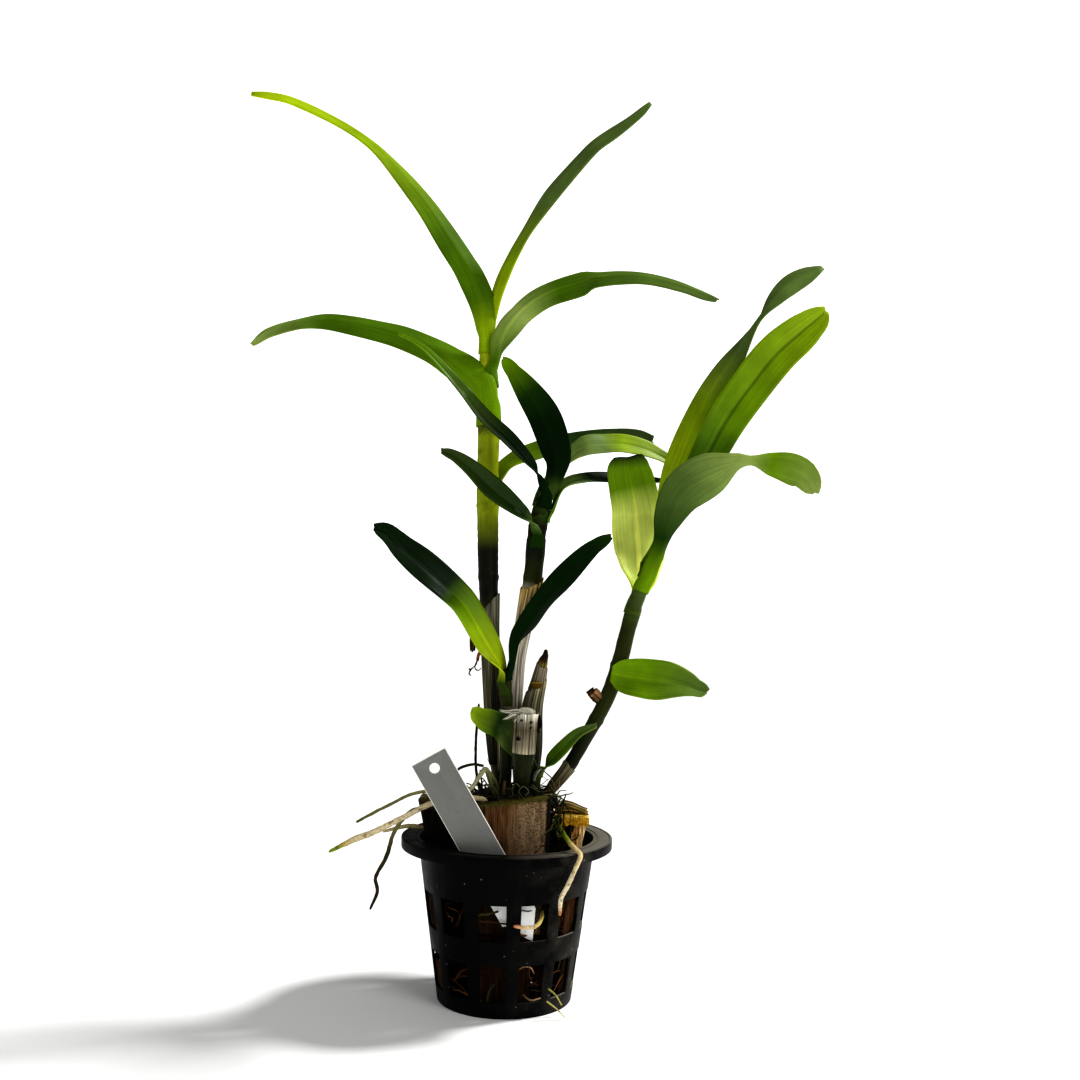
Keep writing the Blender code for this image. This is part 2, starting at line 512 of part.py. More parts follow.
def rhizome(material):
    """Low lump with a socket for each cane and root that grows from it."""
    shape = bmesh.new()
    bmesh.ops.create_icosphere(shape, subdivisions=3, radius=1)
    for vert in shape.verts:
        place = Vector([c + h * a for c, h, a in zip(CROWN_CENTRE, CROWN_HALF, vert.co)])
        dip = CROWN_ROUGH * noise.noise(place * CROWN_GRAIN)
        place -= vert.co * (CROWN_ROUGH + dip) / 2
        place.z = max(place.z, CROWN_FOOT)
        vert.co = place
    piece = add_mesh("rhizome", shape, material, 60)
    cutters = []
    for axis in [entry[0] for entry in CANES.values()] + [ROOTS[name] for name in CROWN_ROOTS]:
        cutters.append(socket(axis[0][:3], axis[1][:3], axis[0][3], material))
    cut_away(piece, cutters)
    return piece


def clear_scene():
    for old in list(bpy.data.objects):
        bpy.data.objects.remove(old)


def main():
    clear_scene()
    plastic = surface("black_plastic", "17181a", 0.45)
    label_plastic = surface("white_plastic", "b9b9b6", 0.5)
    husk = surface("coconut_husk", "6b4a2c", 0.9)
    bark = surface("rhizome_bark", "2e2a1c", 0.9)
    green_cane = surface("cane_green", "6f7d1c", 0.45)
    dry_cane = surface("cane_dry", "7d776a", 0.8)
    blade = surface("leaf_blade", "4d7a14", 0.38)
    root_skin = surface("root_skin", "d8cfae", 0.7)

    net_pot(plastic)
    plant_label(label_plastic)
    for name, chunk in HUSK.items():
        husk_chunk(name, *chunk, husk)
    rhizome(bark)
    for name, (axis, rings, sides) in CANES.items():
        dry = name in ("cane_cut", "cane_old")
        cane(name, axis, rings, sides, dry_cane if dry else green_cane)
    tube("stub_right", STUB, 6, dry_cane)
    for name, (axis, side, sheath, face, points) in LEAVES.items():
        leaf(name, axis, side, sheath, face, points, blade)
    for name, points in ROOTS.items():
        length = sum(math.dist(a[:3], b[:3]) for a, b in zip(points, points[1:]))
        tube(name, even_rows(points, round(length / ROOT_STEP) + 1), ROOT_SIDES, root_skin)


main()
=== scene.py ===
# Dendrobium orchid in a net pot: the looks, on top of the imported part.
# Numbers are millimetres unless a note says otherwise, and mm turns them into metres.
# The origin is the centre of the pot's base, +Z is up and -Y is the front.

import math
import random

import bmesh
import bpy
from mathutils import Matrix, Vector, noise


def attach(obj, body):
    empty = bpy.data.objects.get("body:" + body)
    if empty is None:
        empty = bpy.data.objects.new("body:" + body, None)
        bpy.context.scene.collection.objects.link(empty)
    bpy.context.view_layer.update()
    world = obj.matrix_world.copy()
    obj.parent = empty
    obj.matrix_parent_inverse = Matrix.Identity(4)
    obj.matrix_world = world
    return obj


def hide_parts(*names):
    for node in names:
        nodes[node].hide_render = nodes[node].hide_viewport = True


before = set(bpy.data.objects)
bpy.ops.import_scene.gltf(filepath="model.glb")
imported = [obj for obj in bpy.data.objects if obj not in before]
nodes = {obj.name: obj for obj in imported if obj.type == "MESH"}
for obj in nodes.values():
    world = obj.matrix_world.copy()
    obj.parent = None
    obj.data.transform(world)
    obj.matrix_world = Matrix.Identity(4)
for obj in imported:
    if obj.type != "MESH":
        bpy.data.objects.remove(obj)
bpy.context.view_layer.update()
mm = 0.001
uvUnit = mm * 10        # ten units of the UV map to a metre
print("packed part loaded:", len(nodes), "nodes")


# ---- shared helpers

# colours that the leaves and the canes share, for a dendrobium in sun and shade
# night stands for painted shade and cream for painted sunlight on a blade
plantColours = {
    "night": "0c2406", "deep": "1e3a08", "olive": "38481a", "leaf": "4e6c0a", "sage": "60743c",
    "fresh": "6c8c08", "spring": "88a010", "pale": "92a45c", "lime": "b0c41c", "cream": "e4f080",
    "dryGrey": "4c4632", "paleDry": "a09a86", "umber": "16190a", "darkOlive": "30380e",
    "yellowGreen": "909c18"}


def linear(hexColour):
    hexColour = plantColours.get(hexColour, hexColour)
    channels = [int(hexColour[i:i + 2], 16) / 255 for i in (0, 2, 4)]
    return [c / 12.92 if c <= 0.04045 else ((c + 0.055) / 1.055) ** 2.4 for c in channels]


def addNode(tree, kind, inputs=None, **settings):
    # one node with its settings; an input is either a value or the socket that feeds it
    node = tree.nodes.new("ShaderNode" + kind)
    for key, value in settings.items():
        setattr(node, key, value)
    for socket, value in (inputs or {}).items():
        if isinstance(value, bpy.types.NodeSocket):
            tree.links.new(value, node.inputs[socket])
        else:
            node.inputs[socket].default_value = value
    return node


def newMaterial(name, roughness, ior=1.5, **sockets):
    material = bpy.data.materials.new(name)
    material.use_nodes = True
    shader = material.node_tree.nodes["Principled BSDF"]
    shader.inputs["Roughness"].default_value = roughness
    shader.inputs["IOR"].default_value = ior
    for socket, value in sockets.items():
        shader.inputs[socket].default_value = value
    return material, material.node_tree, shader


def smoothRows(points, count):
    # rows at even steps along the smooth curve through the points
    marks = [0.0]
    for a, b in zip(points, points[1:]):
        marks.append(marks[-1] + math.dist(a[:3], b[:3]))
    return [readCurve(points, marks, marks[-1] * k / (count - 1)) for k in range(count)]


def readCurve(points, marks, place):
    last = len(points) - 1
    i = max([j for j in range(last) if marks[j] <= place] or [0])
    span = marks[i + 1] - marks[i]
    t = (place - marks[i]) / span

    def slope(j):
        before, after = max(0, j - 1), min(last, j + 1)
        reach = marks[after] - marks[before]
        return [(b - a) / reach for a, b in zip(points[before], points[after])]

    start, end = slope(i), slope(i + 1)
    return [(2 * t**3 - 3 * t**2 + 1) * p + (t**3 - 2 * t**2 + t) * span * m
            + (3 * t**2 - 2 * t**3) * q + (t**3 - t**2) * span * n
            for p, q, m, n in zip(points[i], points[i + 1], start, end)]


def blend(first, second, share):
    return [a + (b - a) * share for a, b in zip(first, second)]


def toneAt(tones, place):
    # linear colour between (place, colour) stops
    for (a, first), (b, second) in zip(tones, tones[1:]):
        if place <= b:
            share = min(1, max(0, (place - a) / (b - a)))
            return blend(linear(first), linear(second), share)
    return linear(tones[-1][1])


def newShape():
    # bmesh with the UV map and the colour layer that the plant's materials read
    shape = bmesh.new()
    shape.loops.layers.uv.new("skin")
    shape.verts.layers.float_color.new("tone")
    return shape


def scaleUv(shape, faces, across, along, shift=0):
    # the grid's own UV map, brought to the size of the piece
    uv = shape.loops.layers.uv["skin"]
    for face in faces:
        for loop in face.loops:
            u, v = loop[uv].uv
            loop[uv].uv = (u * across * uvUnit + shift, v * along * uvUnit)


def fillHoles(shape, faces):
    edges = {edge for face in faces if face.is_valid
             for edge in face.edges if edge.is_boundary}
    bmesh.ops.holes_fill(shape, edges=list(edges), sides=0)


def thicken(piece, thick, offset):
    wall = piece.modifiers.new("thickness", "SOLIDIFY")
    wall.thickness = thick * mm
    wall.offset = offset
    return wall


def addTube(shape, rows, sides, tones, lumps=0, seed=0, capped=True):
    # round stem along rows of (x, y, z, radius); tones run from its foot (0) to its tip (1)
    tone = shape.verts.layers.float_color["tone"]
    made = bmesh.ops.create_grid(shape, x_segments=sides, y_segments=len(rows) - 1, size=1,
                                 calc_uvs=True)
    verts = made["verts"]
    faces = {face for vert in verts for face in vert.link_faces}
    spots = [Vector(row[:3]) for row in rows]
    lengths = [0.0]
    for a, b in zip(spots, spots[1:]):
        lengths.append(lengths[-1] + (b - a).length)
    scaleUv(shape, faces, math.tau * max(row[3] for row in rows), lengths[-1])
    frames, side = [], None
    for i in range(len(rows)):
        ahead = (spots[min(i + 1, len(rows) - 1)] - spots[max(i - 1, 0)]).normalized()
        if side is None:
            side = ahead.orthogonal().normalized()
        side = (side - ahead * side.dot(ahead)).normalized()
        frames.append((side, ahead.cross(side)))
    for vert in verts:
        turn = (vert.co.x + 1) * math.pi
        i = round((vert.co.y + 1) / 2 * (len(rows) - 1))
        out = frames[i][0] * math.cos(turn) + frames[i][1] * math.sin(turn)
        radius = rows[i][3]
        if lumps:
            place = (spots[i] + out * radius) * 0.55 + Vector((seed, 0, 0))
            radius *= 1 + lumps * noise.noise(place)
        vert.co = spots[i] + out * radius
        vert[tone] = (*toneAt(tones, lengths[i] / lengths[-1]), 1)
    bmesh.ops.remove_doubles(shape, verts=verts, dist=1e-4)
    if capped:
        fillHoles(shape, faces)


def finishPiece(name, shape, materials, replaced=(), sharpAngle=50, recalculate=True):
    # the bmesh in millimetres becomes a piece in metres that rides on the part
    if recalculate:
        bmesh.ops.recalc_face_normals(shape, faces=shape.faces)
    bmesh.ops.scale(shape, vec=(mm, mm, mm), verts=shape.verts)
    mesh = bpy.data.meshes.new(name)
    shape.to_mesh(mesh)
    shape.free()
    mesh.shade_smooth()
    mesh.set_sharp_from_angle(angle=math.radians(sharpAngle))
    for material in materials:
        mesh.materials.append(material)
    piece = bpy.data.objects.new(name, mesh)
    bpy.context.scene.collection.objects.link(piece)
    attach(piece, "root")
    if replaced:
        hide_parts(*replaced)
    return piece


# ---- materials of the plant

def leafSkin(name, underside):
    # living leaf: waxy cuticle, so a soft sheen over parallel veins; the underside is duller
    material, tree, shader = newMaterial(name, 0.6 if underside else 0.4, 1.45,
                                        **{"Specular IOR Level": 0.05 if underside else 0.12})
    tone = addNode(tree, "Attribute", attribute_name="tone")
    skin = addNode(tree, "UVMap", uv_map="skin")
    veins = addNode(tree, "Mapping", {"Vector": skin.outputs["UV"], "Scale": (95, 2.2, 1)})
    veinNoise = addNode(tree, "TexNoise", {"Vector": veins.outputs["Vector"], "Scale": 1.0,
                                           "Detail": 3.0, "Roughness": 0.6})
    place = addNode(tree, "TexCoord")
    blotch = addNode(tree, "TexNoise", {"Vector": place.outputs["Object"], "Scale": 70.0,
                                        "Detail": 3.0})
    shade = addNode(tree, "MapRange", {"Value": veinNoise.outputs["Fac"], "From Min": 0.3,
                                       "From Max": 0.7, "To Min": 0.84, "To Max": 1.14})
    patch = addNode(tree, "MapRange", {"Value": blotch.outputs["Fac"], "From Min": 0.3,
                                       "From Max": 0.7, "To Min": 0.86, "To Max": 1.14})
    both = addNode(tree, "Math", {0: shade.outputs[0], 1: patch.outputs[0]}, operation="MULTIPLY")
    base = addNode(tree, "VectorMath", {0: tone.outputs["Color"], 3: both.outputs[0]},
                   operation="SCALE")
    # pale margin and midrib, from the blade's own attributes; the margin's brightening is partly a
    # painted highlight along the edges
    margin = addNode(tree, "Attribute", attribute_name="margin")
    rim = addNode(tree, "MapRange", {"Value": margin.outputs["Fac"], "From Min": 0.9,
                                     "From Max": 1.0, "To Min": 0.0, "To Max": 0.3})
    midrib = addNode(tree, "Attribute", attribute_name="midrib")
    line = addNode(tree, "Math", {0: rim.outputs[0], 1: midrib.outputs["Fac"]},
                   operation="MAXIMUM")
    paleAndHighlit = addNode(tree, "VectorMath", {0: base.outputs[0], 1: (1.9, 1.7, 1.5)},
                     operation="MULTIPLY")
    lined = addNode(tree, "Mix", {0: line.outputs[0], 6: base.outputs[0],
                                  7: paleAndHighlit.outputs[0]}, data_type="RGBA")
    tree.links.new(lined.outputs[2], shader.inputs["Base Color"])
    if not underside:
        gloss = addNode(tree, "MapRange", {"Value": blotch.outputs["Fac"], "From Min": 0.3,
                                           "From Max": 0.7, "To Min": 0.36, "To Max": 0.5})
        tree.links.new(gloss.outputs[0], shader.inputs["Roughness"])
    bump = addNode(tree, "Bump", {"Height": veinNoise.outputs["Fac"], "Strength": 0.25,
                                  "Distance": 0.0002})
    tree.links.new(bump.outputs["Normal"], shader.inputs["Normal"])
    return material


def stemSkin(name, roughness, streak, groove, fleck):
    # cane or sheath: lengthwise fibres under the skin, so fine streaks that run with the stem
    material, tree, shader = newMaterial(name, roughness, 1.45, **{"Specular IOR Level": 0.15})
    tone = addNode(tree, "Attribute", attribute_name="tone")
    skin = addNode(tree, "UVMap", uv_map="skin")
    along = addNode(tree, "Mapping", {"Vector": skin.outputs["UV"], "Scale": (120, 3.0, 1)})
    fibres = addNode(tree, "TexNoise", {"Vector": along.outputs["Vector"], "Scale": 1.0,
                                        "Detail": 4.0, "Roughness": 0.7})
    place = addNode(tree, "TexCoord")
    blotch = addNode(tree, "TexNoise", {"Vector": place.outputs["Object"], "Scale": 160.0,
                                        "Detail": 4.0})
    lines = addNode(tree, "MapRange", {"Value": fibres.outputs["Fac"], "From Min": 0.32,
                                       "From Max": 0.68, "To Min": 1 - streak,
                                       "To Max": 1 + streak})
    base = addNode(tree, "VectorMath", {0: tone.outputs["Color"], 3: lines.outputs[0]},
                   operation="SCALE")
    spots = addNode(tree, "MapRange", {"Value": blotch.outputs["Fac"], "From Min": 0.56,
                                       "From Max": 0.72, "To Min": 0.0, "To Max": fleck})
    spotted = addNode(tree, "Mix", {0: spots.outputs[0], 6: base.outputs[0],
                                    7: (*linear("3a3016"), 1)}, data_type="RGBA")
    tree.links.new(spotted.outputs[2], shader.inputs["Base Color"])
    bump = addNode(tree, "Bump", {"Height": fibres.outputs["Fac"], "Strength": groove,
                                  "Distance": 0.0004})
    tree.links.new(bump.outputs["Normal"], shader.inputs["Normal"])
    return material


def dryPaper():
    # dead leaf sheath: bleached papery fibres over rotten dark grooves, matt and split lengthwise
    material, tree, shader = newMaterial("sheathDryPaper", 0.9, 1.45,
                                        **{"Specular IOR Level": 0.2})
    tone = addNode(tree, "Attribute", attribute_name="tone")
    skin = addNode(tree, "UVMap", uv_map="skin")
    # ribs 1.2 mm apart, then fibres 0.4 mm apart
    wide = addNode(tree, "Mapping", {"Vector": skin.outputs["UV"], "Scale": (95, 2.0, 1)})
    fine = addNode(tree, "Mapping", {"Vector": skin.outputs["UV"], "Scale": (280, 5.0, 1)})
    ribs = addNode(tree, "TexNoise", {"Vector": wide.outputs["Vector"], "Scale": 1.0,
                                      "Detail": 3.0, "Distortion": 0.2})
    fibres = addNode(tree, "TexNoise", {"Vector": fine.outputs["Vector"], "Scale": 1.0,
                                        "Detail": 3.0})
    groove = addNode(tree, "MapRange", {"Value": ribs.outputs["Fac"], "From Min": 0.4,
                                        "From Max": 0.6, "To Min": 0.3, "To Max": 1.35})
    fibre = addNode(tree, "MapRange", {"Value": fibres.outputs["Fac"], "From Min": 0.35,
                                       "From Max": 0.65, "To Min": 0.6, "To Max": 1.3})
    both = addNode(tree, "Math", {0: groove.outputs[0], 1: fibre.outputs[0]},
                   operation="MULTIPLY")
    base = addNode(tree, "VectorMath", {0: tone.outputs["Color"], 3: both.outputs[0]},
                   operation="SCALE")
    tree.links.new(base.outputs[0], shader.inputs["Base Color"])
    bump = addNode(tree, "Bump", {"Height": ribs.outputs["Fac"], "Strength": 0.8,
                                  "Distance": 0.0006})
    tree.links.new(bump.outputs["Normal"], shader.inputs["Normal"])
    return material


def rootSkin():
    # velamen, the spongy dead skin of an aerial root: dull, pale, with rusty flecks
    material, tree, shader = newMaterial("rootVelamen", 0.85, 1.4,
                                        **{"Specular IOR Level": 0.2})
    tone = addNode(tree, "Attribute", attribute_name="tone")
    place = addNode(tree, "TexCoord")
    grain = addNode(tree, "TexNoise", {"Vector": place.outputs["Object"], "Scale": 900.0,
                                       "Detail": 3.0})
    flecks = addNode(tree, "TexNoise", {"Vector": place.outputs["Object"], "Scale": 350.0,
                                        "Detail": 2.0})
    lines = addNode(tree, "MapRange", {"Value": grain.outputs["Fac"], "From Min": 0.3,
                                       "From Max": 0.7, "To Min": 0.72, "To Max": 1.12})
    base = addNode(tree, "VectorMath", {0: tone.outputs["Color"], 3: lines.outputs[0]},
                   operation="SCALE")
    rusty = addNode(tree, "MapRange", {"Value": flecks.outputs["Fac"], "From Min": 0.57,
                                       "From Max": 0.66, "To Min": 0.0, "To Max": 0.5})
    spotted = addNode(tree, "Mix", {0: rusty.outputs[0], 6: base.outputs[0],
                                    7: (*linear("5c3a1c"), 1)}, data_type="RGBA")
    tree.links.new(spotted.outputs[2], shader.inputs["Base Color"])
    bump = addNode(tree, "Bump", {"Height": grain.outputs["Fac"], "Strength": 0.6,
                                  "Distance": 0.0003})
    tree.links.new(bump.outputs["Normal"], shader.inputs["Normal"])
    return material


leafUpper = leafSkin("leafCuticleUpper", False)
leafUnder = leafSkin("leafCuticleUnder", True)
caneSkin = stemSkin("caneWaxySkin", 0.42, 0.22, 0.35, 0.35)
drySheath = dryPaper()
velamen = rootSkin()


# ---- canes

caneSides = 20
canes = {
    # axis points with the radius, rings, colours from the foot to the head
    "cane_tall": {
        "axis": [(-5, 3, 105, 2.1), (-8, 3, 132, 3.2), (-9, 3, 150, 3.9), (-12, 5, 206, 4.8),
                 (-13, 6, 232, 5.5), (-14, 8, 276, 5.7), (-14, 9, 303, 5.6), (-15.5, 10, 330, 4.3),
                 (-15.8, 10, 344, 3.4), (-16.4, 10, 351, 3.2)],
        "rings": (150, 189, 219, 257, 300),
        # the darkOlive stop at 0.79 is a painted shadow just under a leaf's sheath
        "tones": [(0, "dryGrey"), (0.36, "dryGrey"), (0.42, "umber"), (0.52, "umber"),
                  (0.6, "yellowGreen"), (0.76, "yellowGreen"), (0.79, "darkOlive"),
                  (0.9, "yellowGreen"), (1, "lime")]},
    "cane_middle": {
        "axis": [(5, 7, 105, 2.0), (3, 6, 150, 3.2), (4, 5, 176, 3.4), (6.5, 4, 194, 4.0),
                 (11, 2, 220, 4.9), (13, 0, 245, 4.7), (17, -1, 266, 4.0)],
        "rings": (183, 219, 246),
        # its dark umber head is painted shade under its leaves
        "tones": [(0, "dryGrey"), (0.3, "paleDry"), (0.66, "paleDry"), (0.69, "darkOlive"),
                  (0.8, "umber"), (1, "umber")]},
    "cane_right": {
        "axis": [(20, -3, 106, 2.4), (25.5, -3, 113, 3.1), (31.5, -3, 121, 3.4),
                 (40.5, -3, 137, 3.6), (46.5, -3, 148, 3.8), (52, -3, 160, 4.0),
                 (57, -2, 175, 4.2), (61, -1, 192, 4.0), (65.5, 0, 208, 3.7), (73.5, 0, 230, 3.0)],
        "rings": (123, 146, 174, 200),
        "tones": [(0, "dryGrey"), (0.1, "dryGrey"), (0.15, "umber"), (0.36, "darkOlive"),
                  (0.7, "darkOlive"), (1, "sage")]},
    "cane_short": {
        "axis": [(-1.5, -4, 104, 3.1), (-1, -5, 125, 3.1), (-1, -5, 140, 2.9),
                 (-1.5, -6, 156, 3.0), (-2, -7, 170, 2.3)],
        "rings": (150,),
        "tones": [(0, "umber"), (0.55, "darkOlive"), (1, "darkOlive")]},
    "cane_shoot": {
        "axis": [(14, -9, 105, 2.6), (14.3, -9, 113, 2.4), (16, -9.5, 120, 1.9)],
        "rings": (),
        "tones": [(0, "darkOlive"), (1, "darkOlive")]},
}
ringSwell = 0.10
ringReach = 1.4


def axisAt(axis, height):
    # centre, direction and radius of a cane at a height
    heights = [point[2] for point in axis]
    x, y, z, radius = readCurve(axis, heights, height)
    above = readCurve(axis, heights, height + 1.0)
    centre = Vector((x, y, z))
    return centre, (Vector(above[:3]) - centre).normalized(), radius


def caneRows(axis, rings, step=2.0):
    foot, head = axis[0][2], axis[-1][2]
    count = round((head - foot) / step)
    rows = []
    for k in range(count + 1):
        height = foot + (head - foot) * k / count
        centre, _, radius = axisAt(axis, height)
        for ring in rings:
            radius *= 1 + ringSwell * math.exp(-((height - ring) / ringReach) ** 2)
        rows.append((*centre, radius))
    centre, along, radius = axisAt(axis, head)
    for rise, width in ((0.3, 0.85), (0.5, 0.5), (0.55, 0.1)):
        rows.append((*(centre + along * radius * rise), radius * width))
    return rows


for name, cane in canes.items():
    shape = newShape()
    addTube(shape, caneRows(cane["axis"], cane["rings"]), caneSides, cane["tones"], 0.05)
    finishPiece("skin_" + name, shape, [caneSkin], [name])
print("canes done")


# ---- leaves

